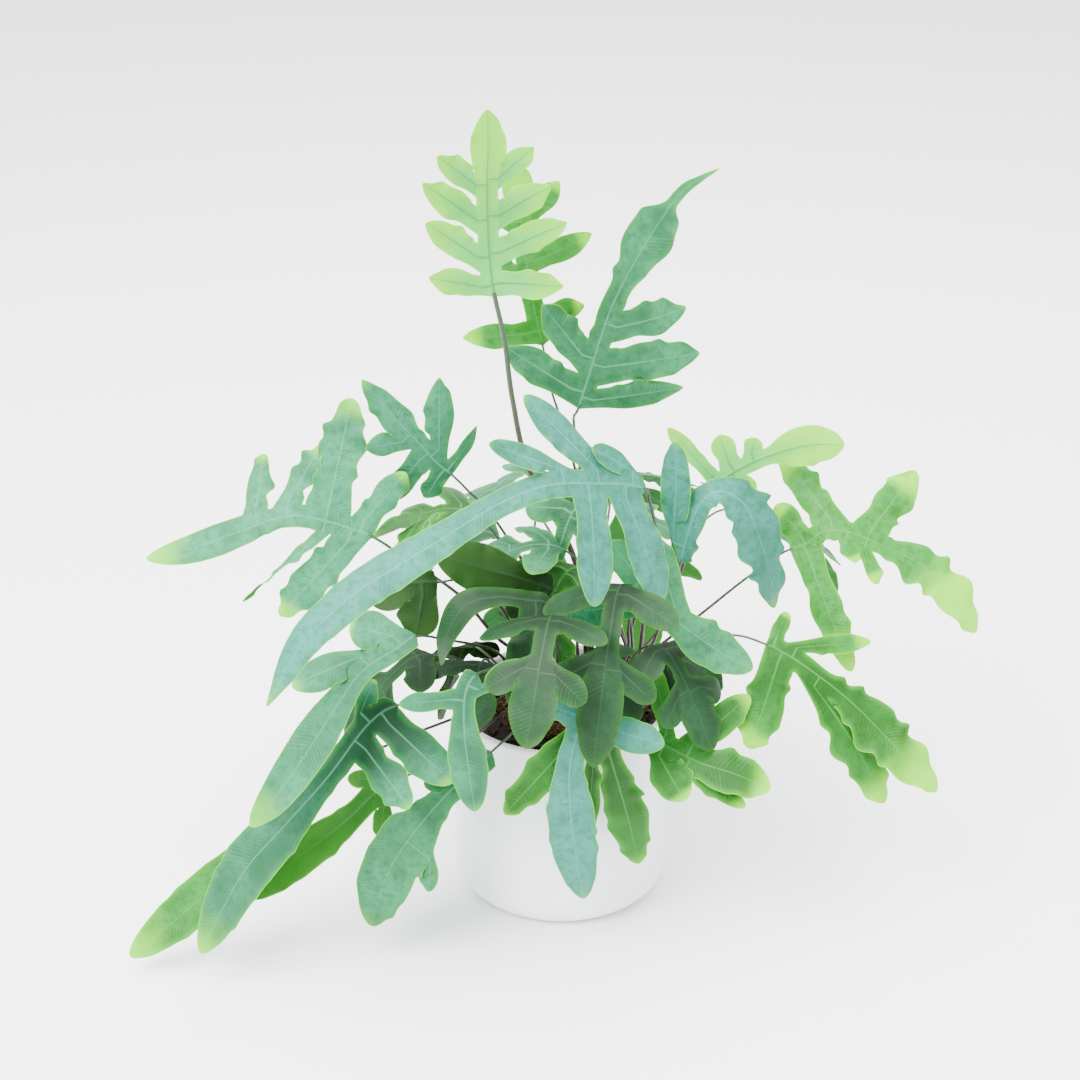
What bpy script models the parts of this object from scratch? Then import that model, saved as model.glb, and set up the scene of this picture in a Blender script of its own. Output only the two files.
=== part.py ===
"""A potted blue-green fern: a round ceramic pot, potting mix, creeping rhizomes, lobed fronds.

The origin is the centre of the pot's flat underside. Z is up and the front is -Y.
Frond layouts are in millimetres around a nominal pot; place() fits them to the driving sizes.
"""
import math

import bmesh
import bpy
import numpy as np
from mathutils import Vector

# Driving sizes, in metres
POT_RADIUS = 0.075
POT_HEIGHT = 0.142
POT_WALL = 0.005
POT_FLOOR = 0.006
POT_CORNER = 0.017
SOIL_DROP = 0.014
RHIZOME_RADIUS = 0.007
PLANT_HEIGHT = 0.543
PLANT_REACH = 0.300
LEAF_THICKNESS = 0.0008
STALK_FOOT_RADIUS = 0.0013
STALK_TOP_RADIUS = 0.0009
GAP = 0.0005

# The nominal plant that the layouts below are drawn for, in millimetres
LAYOUT_POT_RADIUS = 75
LAYOUT_REACH = 300
LAYOUT_SOIL = 128
LAYOUT_CROWN = 143
LAYOUT_HEIGHT = 543

POT_SEGMENTS = 48
STATION_SPACING = 32
LOBE_ROWS = (0.2, 0.5, 0.8)
RHIZOME_SPACING = 9
STALK_SPACING = 24
STALK_OVERLAPS = (2.5, 3.5, 4.5)
STALK_SIDES = 6
RHIZOME_SIDES = 12
TUBE_REFERENCE = (0.31, 0.17, 0.93)

# Rhizomes: where each creeps over the potting mix, as (x, y)
RHIZOMES = {
    "back": [(2, 34), (22, 41), (42, 35), (53, 19)],
    "left": [(-48, -4), (-34, 10), (-14, 20), (6, 13), (22, 18)],
    "front": [(-38, -14), (-20, -30), (8, -30), (36, -20), (52, -4), (50, 8)],
}

# Fronds, in millimetres of the layout. "rhizome" and "share" say where the stalk grows.
# "stalk" and "blade" are the points that the midrib passes, from the crown to the tip.
# "faces" is where the blade's upper side looks, from its base to its tip.
# "terminal" is the share of the blade where its end lobe begins, "wing" the half width
# beside the midrib before that, and "width" the full width of the end lobe.
# Each side lobe is (share along the blade, side, length, width, forward angle), and then
# its droop, sweep and twist in degrees where it has any.
FRONDS = [
    dict(name="upper_left", rhizome="back", share=0.06, terminal=0.35, wing=7, width=21,
         faces=[(-0.2, -0.9, 0.5), (-0.4, -0.8, 0.6)],
         stalk=[(-11, 30, 200), (-45, 25, 264), (-63, 22, 287)],
         blade=[(-73, 20, 299), (-83, 18, 309), (-96, 14, 327), (-112, 10, 348),
                (-129, 6, 372)],
         lobes=[(0.05, 1, 29, 10, -2, 0, 20, 30), (0.06, -1, 18, 16, -11, 30),
                (0.25, -1, 45, 20, -17, 20), (0.22, 1, 52, 21, 52), (0.45, -1, 24, 18, 32)]),
    dict(name="back_left", rhizome="back", share=0.17, terminal=0.6, wing=8, width=32,
         faces=[(0, -0.2, 1), (-0.5, 0.7, 0.5)],
         stalk=[(6, 70, 200), (-18, 108, 232)],
         blade=[(-38, 132, 236), (-76, 165, 214), (-108, 190, 172), (-130, 204, 122)],
         lobes=[(0.1, 1, 67, 26, 20, 20), (0.12, -1, 63, 25, 20, 20),
                (0.28, 1, 59, 25, 28, 20), (0.3, -1, 55, 24, 28, 20),
                (0.45, 1, 42, 22, 35, 20), (0.47, -1, 39, 20, 35, 20)]),
    dict(name="top_young", rhizome="back", share=0.28, terminal=0.62, wing=7, width=24,
         faces=[(0, 1, 0.2), (-0.2, 1, 0.2)],
         stalk=[(9, 46, 223), (-22, 48, 290), (-33, 46, 342), (-38, 43, 385)],
         blade=[(-44, 40, 416), (-47, 40, 439), (-48, 37, 468), (-48, 32, 496),
                (-47, 28, 516), (-47, 22, 543)],
         lobes=[(0.05, 1, 35, 19, 20, 10), (0.06, -1, 39, 20, -10, 10),
                (0.21, 1, 42, 21, 41, 10), (0.23, -1, 48, 23, 24, 10),
                (0.41, 1, 44, 21, 41, 10), (0.43, -1, 39, 22, 31, 10),
                (0.6, 1, 33, 18, 43, 10), (0.63, -1, 31, 17, 46, 10)]),
    dict(name="top_rear", rhizome="back", share=0.39, terminal=0.7, wing=7, width=22,
         faces=[(0, -1, 0.3), (0.1, -1, 0.2)],
         stalk=[(28, 75, 193), (6, 92, 286), (-7, 98, 328)],
         blade=[(-13, 100, 360), (-20, 100, 393), (-25, 98, 428), (-28, 95, 460),
                (-31, 90, 492)],
         lobes=[(0.08, -1, 46, 19, 7, 15), (0.15, 1, 27, 18, 0, 10),
                (0.38, -1, 38, 20, 41, 10), (0.46, 1, 41, 18, 11, 10, 10),
                (0.67, -1, 28, 18, 43, 10), (0.71, 1, 28, 18, 43, 10)]),
    dict(name="back", rhizome="back", share=0.5, terminal=0.6, wing=8, width=32,
         faces=[(0, -0.2, 1), (0, 0.9, 0.4)],
         stalk=[(30, 72, 205), (36, 115, 240)],
         blade=[(40, 140, 246), (48, 182, 226), (52, 212, 178), (54, 226, 124)],
         lobes=[(0.1, 1, 67, 26, 20, 20), (0.12, -1, 63, 25, 20, 20),
                (0.28, 1, 59, 25, 28, 20), (0.3, -1, 55, 24, 28, 20),
                (0.45, 1, 42, 22, 35, 20), (0.47, -1, 39, 20, 35, 20)]),
    dict(name="upper_right", rhizome="back", share=0.61, terminal=0.42, wing=8, width=33,
         faces=[(0, -1, 0.2), (0, -1, 0.3)],
         stalk=[(27, 58, 201), (15, 62, 269), (8, 60, 319)],
         blade=[(11, 60, 330), (19, 62, 357), (25, 65, 377), (33, 68, 400), (46, 70, 427),
                (63, 75, 455), (79, 78, 476), (102, 82, 489)],
         lobes=[(0.04, 1, 61, 20, 24, 10), (0.06, -1, 53, 26, 15, 10),
                (0.17, 1, 65, 29, 24, 10), (0.19, -1, 43, 25, 35, 10),
                (0.32, 1, 48, 27, 29, 10, 10)]),
    dict(name="back_right", rhizome="back", share=0.72, terminal=0.6, wing=8, width=32,
         faces=[(0, -0.2, 1), (0.5, 0.7, 0.5)],
         stalk=[(62, 62, 200), (98, 92, 228)],
         blade=[(120, 110, 232), (156, 138, 214), (186, 160, 176), (206, 172, 128)],
         lobes=[(0.1, 1, 67, 26, 20, 20), (0.12, -1, 63, 25, 20, 20),
                (0.28, 1, 59, 25, 28, 20), (0.3, -1, 55, 24, 28, 20),
                (0.45, 1, 42, 22, 35, 20), (0.47, -1, 39, 20, 35, 20)]),
    dict(name="right_bright", rhizome="back", share=0.83, terminal=0.45, wing=6, width=28,
         faces=[(0, 0.9, -0.4), (0, 0.9, -0.4)],
         stalk=[(72, 45, 177), (88, 50, 233), (96, 48, 268)],
         blade=[(101, 46, 278), (122, 46, 293), (145, 45, 304), (167, 42, 311),
                (188, 38, 313)],
         lobes=[(0.05, 1, 44, 12, -7), (0.2, 1, 21, 17, 10), (0.18, -1, 15, 17, 23),
                (0.36, 1, 11, 14, 40)]),
    dict(name="far_right", rhizome="back", share=0.94, terminal=0.4, wing=7, width=31,
         faces=[(0, -0.8, 0.6), (0.2, -0.6, 0.7)],
         stalk=[(68, 26, 167), (96, 26, 192), (123, 26, 217), (146, 26, 236)],
         blade=[(154, 26, 241), (165, 25, 246), (174, 23, 255), (189, 20, 258),
                (206, 16, 253), (236, 8, 241), (258, -4, 226), (275, -18, 201)],
         lobes=[(0.06, 1, 84, 23, -3, 10), (0.07, -1, 27, 20, -15), (0.21, -1, 62, 22, -31),
                (0.37, -1, 53, 26, 14), (0.28, 1, 16, 14, 41, 10), (0.37, 1, 26, 13, 44, 10)]),
    dict(name="low_left_outer", rhizome="left", share=0.08, terminal=0.3, wing=8, width=32,
         faces=[(-0.2, -0.8, 0.6), (-0.3, -0.8, 0.5)],
         stalk=[(-42, -34, 159), (-107, -62, 145)],
         blade=[(-153, -76, 126), (-179, -88, 105), (-205, -98, 82), (-228, -106, 60),
                (-259, -114, 34), (-286, -120, 13)],
         lobes=[]),
    dict(name="left_strap", rhizome="left", share=0.25, terminal=0.26, wing=8, width=30,
         faces=[(-0.1, -0.7, 0.7), (-0.4, -0.7, 0.6)],
         stalk=[(-45, -30, 194), (-76, -62, 220)],
         blade=[(-93, -80, 232), (-106, -92, 229), (-126, -106, 221), (-142, -118, 202),
                (-157, -128, 181), (-177, -136, 153), (-197, -140, 129)],
         lobes=[(0.07, 1, 28, 30, 33), (0.23, 1, 47, 24, 71, 20)]),
    dict(name="inner_left_low", rhizome="left", share=0.42, terminal=0.3, wing=8, width=26,
         faces=[(0.1, 0.7, -0.6), (0.1, 0.7, -0.6)],
         stalk=[(-28, -6, 189), (-54, -28, 243)],
         blade=[(-81, -44, 252), (-92, -48, 254), (-104, -52, 253), (-122, -58, 243)],
         lobes=[(0.19, 1, 29, 28, 17)]),
    dict(name="left", rhizome="left", share=0.58, terminal=0.42, wing=8, width=25,
         faces=[(-0.1, -0.8, 0.6), (0, -0.7, 0.7), (-0.3, -0.5, 0.9)],
         stalk=[(-42, 8, 181), (-67, -2, 219), (-93, -10, 245), (-110, -14, 260)],
         blade=[(-124, -16, 271), (-138, -16, 277), (-153, -16, 282), (-177, -16, 286),
                (-207, -18, 277), (-240, -22, 266), (-271, -24, 259)],
         lobes=[(0.05, 1, 42, 20, -22), (0.21, 1, 77, 31, 1), (0.09, -1, 66, 27, 24, 10),
                (0.37, 1, 45, 18, -34), (0.21, -1, 68, 10, 36, 10, 0, 120),
                (0.5, 1, 40, 18, -24)]),
    dict(name="inner_left", rhizome="left", share=0.75, terminal=0.3, wing=7, width=22,
         faces=[(0.2, -0.5, 0.8), (0, -0.5, 0.9), (-0.9, -0.4, 0.3)],
         stalk=[(5, -16, 183), (4, -38, 221)],
         blade=[(-8, -53, 241), (-24, -59, 247), (-43, -65, 252), (-62, -71, 249),
                (-74, -76, 230), (-78, -78, 210)],
         lobes=[(0.09, -1, 70, 30, 13, 30)]),
    dict(name="inner_front", rhizome="left", share=0.92, terminal=0.2, wing=10, width=36,
         faces=[(0, 0.6, -0.6), (0, 0.6, -0.7)],
         stalk=[(19, -8, 190), (6, -22, 222)],
         blade=[(-7, -32, 240), (-28, -38, 252), (-47, -45, 261), (-66, -50, 270),
                (-81, -53, 275)],
         lobes=[(0.09, 1, 25, 24, 50)]),
    dict(name="lower_left", rhizome="front", share=0.04, terminal=0.3, wing=9, width=37,
         faces=[(-0.2, -0.8, 0.6), (-0.3, -0.8, 0.5)],
         stalk=[(-38, -40, 170), (-73, -64, 178)],
         blade=[(-106, -84, 184), (-125, -94, 175), (-151, -106, 143), (-181, -117, 111),
                (-207, -124, 81), (-236, -136, 28)],
         lobes=[(0.05, -1, 56, 28, -11), (0.17, -1, 48, 24, 13), (0.1, 1, 23, 14, -66)]),
    dict(name="low_left_pale", rhizome="front", share=0.12, terminal=0.2, wing=9, width=28,
         faces=[(0.1, 0.6, -0.6), (0.1, 0.7, -0.6)],
         stalk=[(-41, -56, 160), (-80, -69, 133)],
         blade=[(-116, -77, 119), (-140, -87, 100), (-158, -95, 88), (-182, -105, 73),
                (-203, -111, 53)],
         lobes=[(0.05, -1, 16, 14, 46), (0.06, 1, 23, 14, 47)]),
    dict(name="low_left_broad", rhizome="front", share=0.21, terminal=0.25, wing=9, width=40,
         faces=[(0, -0.8, 0.6), (-0.2, -1, 0.3)],
         stalk=[(-15, -60, 174), (-31, -80, 163)],
         blade=[(-46, -92, 154), (-69, -102, 135), (-92, -108, 109), (-113, -110, 75),
                (-127, -108, 29)],
         lobes=[(0.15, 1, 24, 18, 82), (0.53, -1, 22, 13, 59)]),
    dict(name="front_narrow", rhizome="front", share=0.29, terminal=0.25, wing=7, width=25,
         faces=[(0, -0.8, 0.6), (0, -1, 0.2)],
         stalk=[(-15, -52, 190), (-37, -87, 213)],
         blade=[(-54, -109, 221), (-61, -117, 212), (-62, -123, 189), (-59, -125, 157),
                (-56, -125, 130)],
         lobes=[(0.1, -1, 34, 14, -55), (0.2, 1, 34, 13, 12)]),
    dict(name="front_hanging", rhizome="front", share=0.38, terminal=0.18, wing=8, width=32,
         faces=[(0, -0.8, 0.6), (0, -1, 0.2)],
         stalk=[(19, -52, 186), (18, -80, 194)],
         blade=[(16, -97, 191), (10, -106, 180), (4, -112, 153), (6, -112, 107),
                (14, -104, 48)],
         lobes=[(0.06, -1, 46, 22, -8), (0.06, 1, 28, 18, 7)]),
    dict(name="front_second", rhizome="front", share=0.46, terminal=0.3, wing=8, width=29,
         faces=[(0, -0.8, 0.6), (0.2, -1, 0.2)],
         stalk=[(26, -50, 176), (21, -72, 185)],
         blade=[(19, -84, 184), (24, -92, 172), (33, -95, 142), (43, -94, 103),
                (51, -90, 66)],
         lobes=[(0.07, 1, 78, 25, 27, 10), (0.22, 1, 64, 14, 69)]),
    dict(name="low_right", rhizome="front", share=0.54, terminal=0.3, wing=8, width=30,
         faces=[(0, -0.7, 0.7), (0.2, -0.7, 0.7)],
         stalk=[(45, -50, 164), (51, -66, 158)],
         blade=[(57, -76, 155), (66, -82, 153), (88, -92, 146), (111, -100, 142),
                (133, -107, 135)],
         lobes=[(0.1, -1, 49, 14, -38), (0.32, -1, 51, 22, 20), (0.11, 1, 34, 27, 57, 10),
                (0.35, 1, 46, 15, 87, 20)]),
    dict(name="centre_right", rhizome="front", share=0.62, terminal=0.25, wing=6, width=30,
         faces=[(0, -0.8, 0.7), (0.2, -0.8, 0.6)],
         stalk=[(43, -24, 187), (43, -40, 218)],
         blade=[(46, -50, 246), (51, -52, 246), (67, -59, 236), (88, -67, 223),
                (106, -73, 213), (121, -78, 207)],
         lobes=[(0.09, 1, 61, 24, -48, -5), (0.08, -1, 41, 22, -75),
                (0.31, -1, 50, 22, -52)]),
    dict(name="inner_right", rhizome="front", share=0.71, terminal=0.2, wing=7, width=22,
         faces=[(0, -0.6, 0.8), (0.2, -0.6, 0.8)],
         stalk=[(63, -20, 158)],
         blade=[(60, -26, 173), (65, -30, 185), (78, -34, 189), (94, -38, 182),
                (106, -40, 170)],
         lobes=[(0.31, 1, 23, 18, 36)]),
    dict(name="lower_right", rhizome="front", share=0.79, terminal=0.3, wing=8, width=36,
         faces=[(0.1, -0.7, 0.7), (0.3, -0.7, 0.7)],
         stalk=[(86, -17, 195), (114, -27, 204)],
         blade=[(134, -32, 200), (147, -34, 194), (166, -38, 182), (189, -44, 165),
                (210, -52, 146), (248, -70, 110)],
         lobes=[(0.03, -1, 19, 12, 3), (0.07, 1, 61, 31, 8, 10), (0.13, -1, 53, 14, 53),
                (0.28, 1, 97, 30, 73, 30)]),
    dict(name="front_arch", rhizome="front", share=0.88, terminal=0.36, wing=9, width=27,
         faces=[(0, -0.9, 0.6), (-0.2, -0.8, 0.7), (-0.6, -0.8, 0.4)],
         stalk=[(55, -12, 215), (60, -24, 273), (55, -32, 305)],
         blade=[(52, -38, 315), (39, -48, 323), (22, -60, 329), (-9, -82, 338),
                (-39, -100, 334), (-75, -118, 318), (-98, -128, 307), (-122, -136, 294),
                (-140, -141, 280), (-158, -146, 262), (-180, -152, 223)],
         lobes=[(0.04, 1, 37, 16, 74), (0.06, -1, 72, 33, -27, 10), (0.13, 1, 67, 24, 46),
                (0.16, -1, 68, 30, 4, 10), (0.22, 1, 53, 17, 70)]),
    dict(name="right_arch", rhizome="front", share=0.96, terminal=0.3, wing=9, width=38,
         faces=[(-0.5, -0.8, 0.2), (0, -0.7, 0.8), (0.8, -0.6, 0.2)],
         stalk=[(63, 8, 181), (71, 6, 209), (75, 5, 225)],
         blade=[(79, 5, 242), (84, 2, 269), (92, 0, 290), (104, 0, 296), (120, 4, 284),
                (133, 8, 253), (141, 10, 222), (144, 10, 205)],
         lobes=[(0.07, -1, 77, 24, 82, -10)]),
]

# Short fronds that fill the crown: name, rhizome, share along it, heading in degrees, rise
# above the crown, reach, drop from the top of the arch to the tip, and bend to the left
SHORT_FRONDS = [
    ("short_01", "front", 0.85, 260, 110, 120, 100, -10),
    ("short_02", "front", 0.35, 270, 100, 120, 60, -20),
    ("short_03", "left", 0.29, 90, 50, 100, 100, -10),
    ("short_04", "left", 0.03, 220, 40, 110, 50, -20),
    ("short_05", "left", 0.19, 170, 20, 50, 70, -20),
    ("short_06", "back", 0.89, 210, 90, 100, 80, 20),
    ("short_07", "back", 0.67, 190, 120, 60, 90, 20),
    ("short_08", "front", 0.18, 330, 50, 90, 30, -10),
    ("short_09", "left", 0.12, 250, 40, 100, 20, 20),
    ("short_10", "left", 0.36, 80, 120, 120, 60, -20),
    ("short_11", "front", 0.68, 300, 60, 90, 60, 20),
    ("short_12", "back", 0.33, 20, 100, 70, 30, 0),
    ("short_13", "front", 0.91, 190, 110, 120, 20, -10),
    ("short_14", "left", 0.49, 80, 30, 60, 10, 20),
    ("short_15", "left", 0.63, 170, 120, 120, 20, 20),
    ("short_16", "back", 0.12, 170, 90, 120, 60, -10),
    ("short_17", "back", 0.78, 80, 60, 90, 120, 0),
]


def unit(vectors):
    """Scale vectors to length one."""
    vectors = np.asarray(vectors, float)
    return vectors / np.maximum(np.linalg.norm(vectors, axis=-1, keepdims=True), 1e-9)


def smoothstep(x):
    """Ease from 0 to 1 as x goes from 0 to 1."""
    x = np.clip(x, 0.0, 1.0)
    return x * x * (3 - 2 * x)


def place(points):
    """Fit layout points, in millimetres, to the driving sizes, in metres."""
    points = np.asarray(points, float).reshape(-1, 3)
    out = np.hypot(points[:, 0], points[:, 1])
    beyond = (PLANT_REACH - POT_RADIUS) / (LAYOUT_REACH - LAYOUT_POT_RADIUS)
    inside = out * POT_RADIUS / LAYOUT_POT_RADIUS
    outside = POT_RADIUS + (out - LAYOUT_POT_RADIUS) * beyond
    reach = np.where(out < LAYOUT_POT_RADIUS, inside, outside) / np.maximum(out, 1e-9)
    soil = POT_HEIGHT - SOIL_DROP
    crown = soil + 2 * RHIZOME_RADIUS + 2 * GAP
    levels = [0, LAYOUT_SOIL, LAYOUT_CROWN, LAYOUT_HEIGHT]
    heights = [0, soil, crown, PLANT_HEIGHT]
    z = np.interp(points[:, 2], levels, heights)
    return np.column_stack([points[:, 0] * reach, points[:, 1] * reach, z])


class Route:
    """A Catmull-Rom curve through the given points, measured along its length."""

    def __init__(self, points, per_span=16):
        knots = np.asarray(points, float)
        knots = np.vstack([2 * knots[0] - knots[1], knots, 2 * knots[-1] - knots[-2]])
        spans = []
        for a, b, c, d in zip(knots, knots[1:], knots[2:], knots[3:]):
            u = np.linspace(0, 1, per_span, endpoint=False)[:, None]
            straight = 2 * b + (c - a) * u
            bend = (2 * a - 5 * b + 4 * c - d) * u ** 2 + (3 * b - a - 3 * c + d) * u ** 3
            spans.append(0.5 * (straight + bend))
        self.line = np.vstack(spans + [knots[-2:-1]])
        steps = np.linalg.norm(np.diff(self.line, axis=0), axis=1)
        self.along = np.concatenate([[0], np.cumsum(steps)])
        self.marks = self.along[::per_span]
        self.length = self.along[-1]

    def at(self, where):
        """Points at the given distances along the route."""
        where = np.atleast_1d(where)
        return np.column_stack([np.interp(where, self.along, self.line[:, k]) for k in range(3)])

    def direction(self, where):
        """Unit tangents at the given distances along the route."""
        where = np.atleast_1d(where)
        reach = 1.5
        ahead = self.at(np.minimum(where + reach, self.length))
        return unit(ahead - self.at(np.maximum(where - reach, 0)))


def leaf_outline(x, base, broad):
    """Half width of a lobe from its base (0) to its round tip (1), as a share of its widest."""
    swell = base + (1 - base) * smoothstep(x / broad)
    taper = np.clip((x - broad) / (1 - broad), 0, 1)
    return swell * (1 - taper ** 2.4) ** 0.62


def turn(vectors, axes, angle):
    """Turn vectors about unit axes by an angle in radians."""
    cosine = np.cos(angle)[..., None]
    sine = np.sin(angle)[..., None]
    along = axes * np.sum(axes * vectors, axis=-1, keepdims=True) * (1 - cosine)
    return vectors * cosine + np.cross(axes, vectors) * sine + along


def frond_route(frond):
    """The line of a frond, from its foot on the rhizome to the tip of its blade."""
    creep = Route([(x, y, 0) for x, y in RHIZOMES[frond["rhizome"]]])
    x, y, _ = creep.at(frond["share"] * creep.length)[0]
    foot = [(x, y, LAYOUT_CROWN), (x, y, LAYOUT_CROWN + 10)]
    route = Route(foot + frond["stalk"] + frond["blade"])
    return route, route.marks[len(foot) + len(frond["stalk"])]


def short_frond(name, rhizome, share, heading, rise, reach, drop, bend):
    """A short frond that rises from the crown, arches over along its heading and droops."""
    creep = Route([(x, y, 0) for x, y in RHIZOMES[rhizome]])
    x, y, _ = creep.at(share * creep.length)[0]
    way = np.array([math.cos(math.radians(heading)), math.sin(math.radians(heading))])
    aside = np.array([-way[1], way[0]])
    line = []
    for along in (0.12, 0.3, 0.44, 0.58, 0.72, 0.86, 1.0):
        up = 1 - (1 - along / 0.55) ** 2 if along < 0.55 else 1
        down = max((along - 0.55) / 0.45, 0) ** 1.6
        spot = np.array([x, y]) + way * reach * along + aside * bend * along * along
        line.append((spot[0], spot[1], LAYOUT_CROWN + 10 + rise * up - drop * down))
    blade = 0.56 * math.hypot(reach, drop)
    lobe = 0.3 * blade + 10
    lobes = [(0.13, 1, lobe, 18, 25, 20), (0.15, -1, 0.9 * lobe, 18, 25, 20)]
    if blade > 60:
        lobes += [(0.46, 1, 0.7 * lobe, 16, 35, 20), (0.48, -1, 0.65 * lobe, 16, 35, 20)]
    faces = [(-0.5 * way[0], -0.5 * way[1], 1), (0.6 * way[0], 0.6 * way[1], 0.7)]
    return dict(name=name, rhizome=rhizome, share=share, terminal=0.4, wing=6, width=26,
                faces=faces, stalk=line[:2], blade=line[2:], lobes=lobes)


def all_fronds():
    """The fronds of the layout and the short ones that fill the crown."""
    return FRONDS + [short_frond(*row) for row in SHORT_FRONDS]


def lobe_span(lobe, length):
    """Where a side lobe joins the blade: its first, middle and last distance."""
    at, _, _, width = lobe[:4]
    half = max(0.95 * width, 7) / 2
    first = max(at * length - half, 0)
    last = at * length + half
    return first, (first + last) / 2, last


def blade_stations(lobes, length):
    """Distances along a blade for its cross rows, with rows at each end of every lobe."""
    end = 0.985 * length
    marks = {0.0, end}
    for lobe in lobes:
        marks.update(lobe_span(lobe, length))
    marks = sorted(mark for mark in marks if mark <= end)
    rows = [0.0]
    for mark in marks[1:]:
        start = rows[-1]
        if mark - start < 0.02:
            continue
        count = math.ceil((mark - start) / STATION_SPACING)
        rows += [start + (mark - start) * k / count for k in range(1, count + 1)]
    return np.array(rows)


def side_lobe(lobe, middle, frame):
    """Midvein of a side lobe, with the direction across it at each point."""
    _, side, length, _, angle = lobe[:5]
    droop, sweep, twist = (list(lobe[5:]) + [0, 0, 0])[:3]
    along, normal, across = frame
    lean = math.radians(angle)
    out = math.cos(lean) * across * side + math.sin(lean) * along
    forward = np.cross(normal, out)
    forward = forward * (1 if forward @ along > 0 else -1)
    share = np.linspace(0, 1, 25)
    bend = (np.radians(sweep) * share)[:, None]
    fall = (np.radians(droop) * share)[:, None]
    level = np.cos(bend) * out + np.sin(bend) * forward
    heading = np.cos(fall) * level - np.sin(fall) * normal
    steps = (heading[1:] + heading[:-1]) / 2 * length / (len(share) - 1)
    vein = middle + np.vstack([np.zeros(3), np.cumsum(steps, axis=0)])
    upper = np.cos(fall) * normal + np.sin(fall) * level
    width_way = unit(np.cross(upper, heading))
    width_way = width_way * (1 if width_way[0] @ along > 0 else -1)
    return share, vein, turn(width_way, heading, np.radians(twist) * share)


def blade_sheet(frond):
    """Vertices, in layout millimetres, and faces of a frond's blade, seen as a thin sheet."""
    route, start = frond_route(frond)
    length = route.length - start
    rows = blade_stations(frond["lobes"], length)
    along = route.direction(start + rows)
    knots = np.linspace(0, 1, len(frond["faces"]))
    faces_toward = np.array(frond["faces"], float)
    look = np.column_stack([np.interp(rows / length, knots, faces_toward[:, k]) for k in range(3)])
    normal = unit(look - np.sum(look * along, axis=1, keepdims=True) * along)
    across = np.cross(along, normal)
    widest = frond["width"] / 2
    tip_share = (rows / length - frond["terminal"]) / (1 - frond["terminal"])
    neck = frond["wing"] * smoothstep(rows / length / 0.04 + 0.25)
    terminal = widest * leaf_outline(np.clip(tip_share, 0, 1), frond["wing"] / widest, 0.45)
    half = np.where(tip_share < 0, neck, terminal)[:, None]
    spine = route.at(start + rows)
    columns = np.stack([spine - across * half, spine, spine + across * half], axis=1)
    verts = [tuple(point) for point in columns.reshape(-1, 3)]
    faces = []
    for row in range(len(rows) - 1):
        for column in (0, 1):
            corner = 3 * row + column
            faces.append((corner, corner + 1, corner + 4, corner + 3))
    corner = 3 * (len(rows) - 1)
    tip = len(verts)
    verts.append(tuple(route.at(route.length)[0]))
    faces += [(corner, corner + 1, tip), (corner + 1, corner + 2, tip)]
    for lobe in frond["lobes"]:
        first, middle, last = lobe_span(lobe, length)
        joined = [k for k, row in enumerate(rows) if first - 0.01 <= row <= last + 0.01]
        centre = int(np.argmin(abs(rows - middle)))
        frame = (along[centre], normal[centre], across[centre])
        side = lobe[1]
        border = [3 * k + (2 if side > 0 else 0) for k in joined]
        hold = np.array(verts[border[joined.index(centre)]])
        share, vein, width_way = side_lobe(lobe, hold, frame)
        spread = (rows[joined] - middle) / ((last - first) / 2)
        below = border
        for row in LOBE_ROWS:
            point = [np.interp(row, share, vein[:, k]) for k in range(3)]
            way = unit([np.interp(row, share, width_way[:, k]) for k in range(3)])
            half_width = leaf_outline(row, 0.7, 0.5) * lobe[3] / 2
            free = smoothstep(row / 0.3)
            current = []
            for k, position in zip(border, spread):
                held = (1 - free) * (np.array(verts[k]) - hold)
                current.append(len(verts))
                verts.append(tuple(point + held + free * way * position * half_width))
            for a, b, c, d in zip(below, below[1:], current[1:], current):
                faces.append((d, c, b, a) if side > 0 else (a, b, c, d))
            below = current
        tip = len(verts)
        verts.append(tuple(vein[-1]))
        for a, b in zip(below, below[1:]):
            faces.append((tip, b, a) if side > 0 else (a, b, tip))
    return verts, faces


def new_material(name, colour, roughness):
    """A plain Principled material."""
    material = bpy.data.materials.new(name)
    material.use_nodes = True
    shader = material.node_tree.nodes["Principled BSDF"]
    shader.inputs["Base Color"].default_value = (*colour, 1)
    shader.inputs["Roughness"].default_value = roughness
    shader.inputs["Metallic"].default_value = 0
    return material


def new_object(name, data, material):
    """Link a mesh or curve to the scene as one named object."""
    data.materials.append(material)
    item = bpy.data.objects.new(name, data)
    bpy.context.collection.objects.link(item)
    return item


def turned_object(name, profile, material):
    """A closed round solid from a profile of (radius, height) that starts and ends on the axis."""
    mesh = bmesh.new()
    rim = [mesh.verts.new((radius, 0, height)) for radius, height in profile]
    edges = [mesh.edges.new(pair) for pair in zip(rim, rim[1:])]
    bmesh.ops.spin(mesh, geom=rim + edges, cent=(0, 0, 0), axis=(0, 0, 1),
                   angle=2 * math.pi, steps=POT_SEGMENTS, use_merge=True)
    bmesh.ops.remove_doubles(mesh, verts=mesh.verts, dist=1e-6)
    bmesh.ops.recalc_face_normals(mesh, faces=mesh.faces)
    data = bpy.data.meshes.new(name)
    mesh.to_mesh(data)
    mesh.free()
    data.shade_smooth()
    data.set_sharp_from_angle(angle=math.radians(40))
    return new_object(name, data, material)


def arc(centre, radius, start, end, count):
    """Points along an arc in the (radius, height) plane, with angles in degrees."""
    angles = np.radians(np.linspace(start, end, count))
    return [(centre[0] + radius * math.cos(a), centre[1] + radius * math.sin(a)) for a in angles]


def inner_corner():
    """The rounded corner inside the pot, from its floor up to its wall."""
    radius = max(POT_CORNER - POT_WALL, 0.004)
    centre = (POT_RADIUS - POT_WALL - radius, POT_FLOOR + radius)
    return arc(centre, radius, 270, 360, 5)


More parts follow.
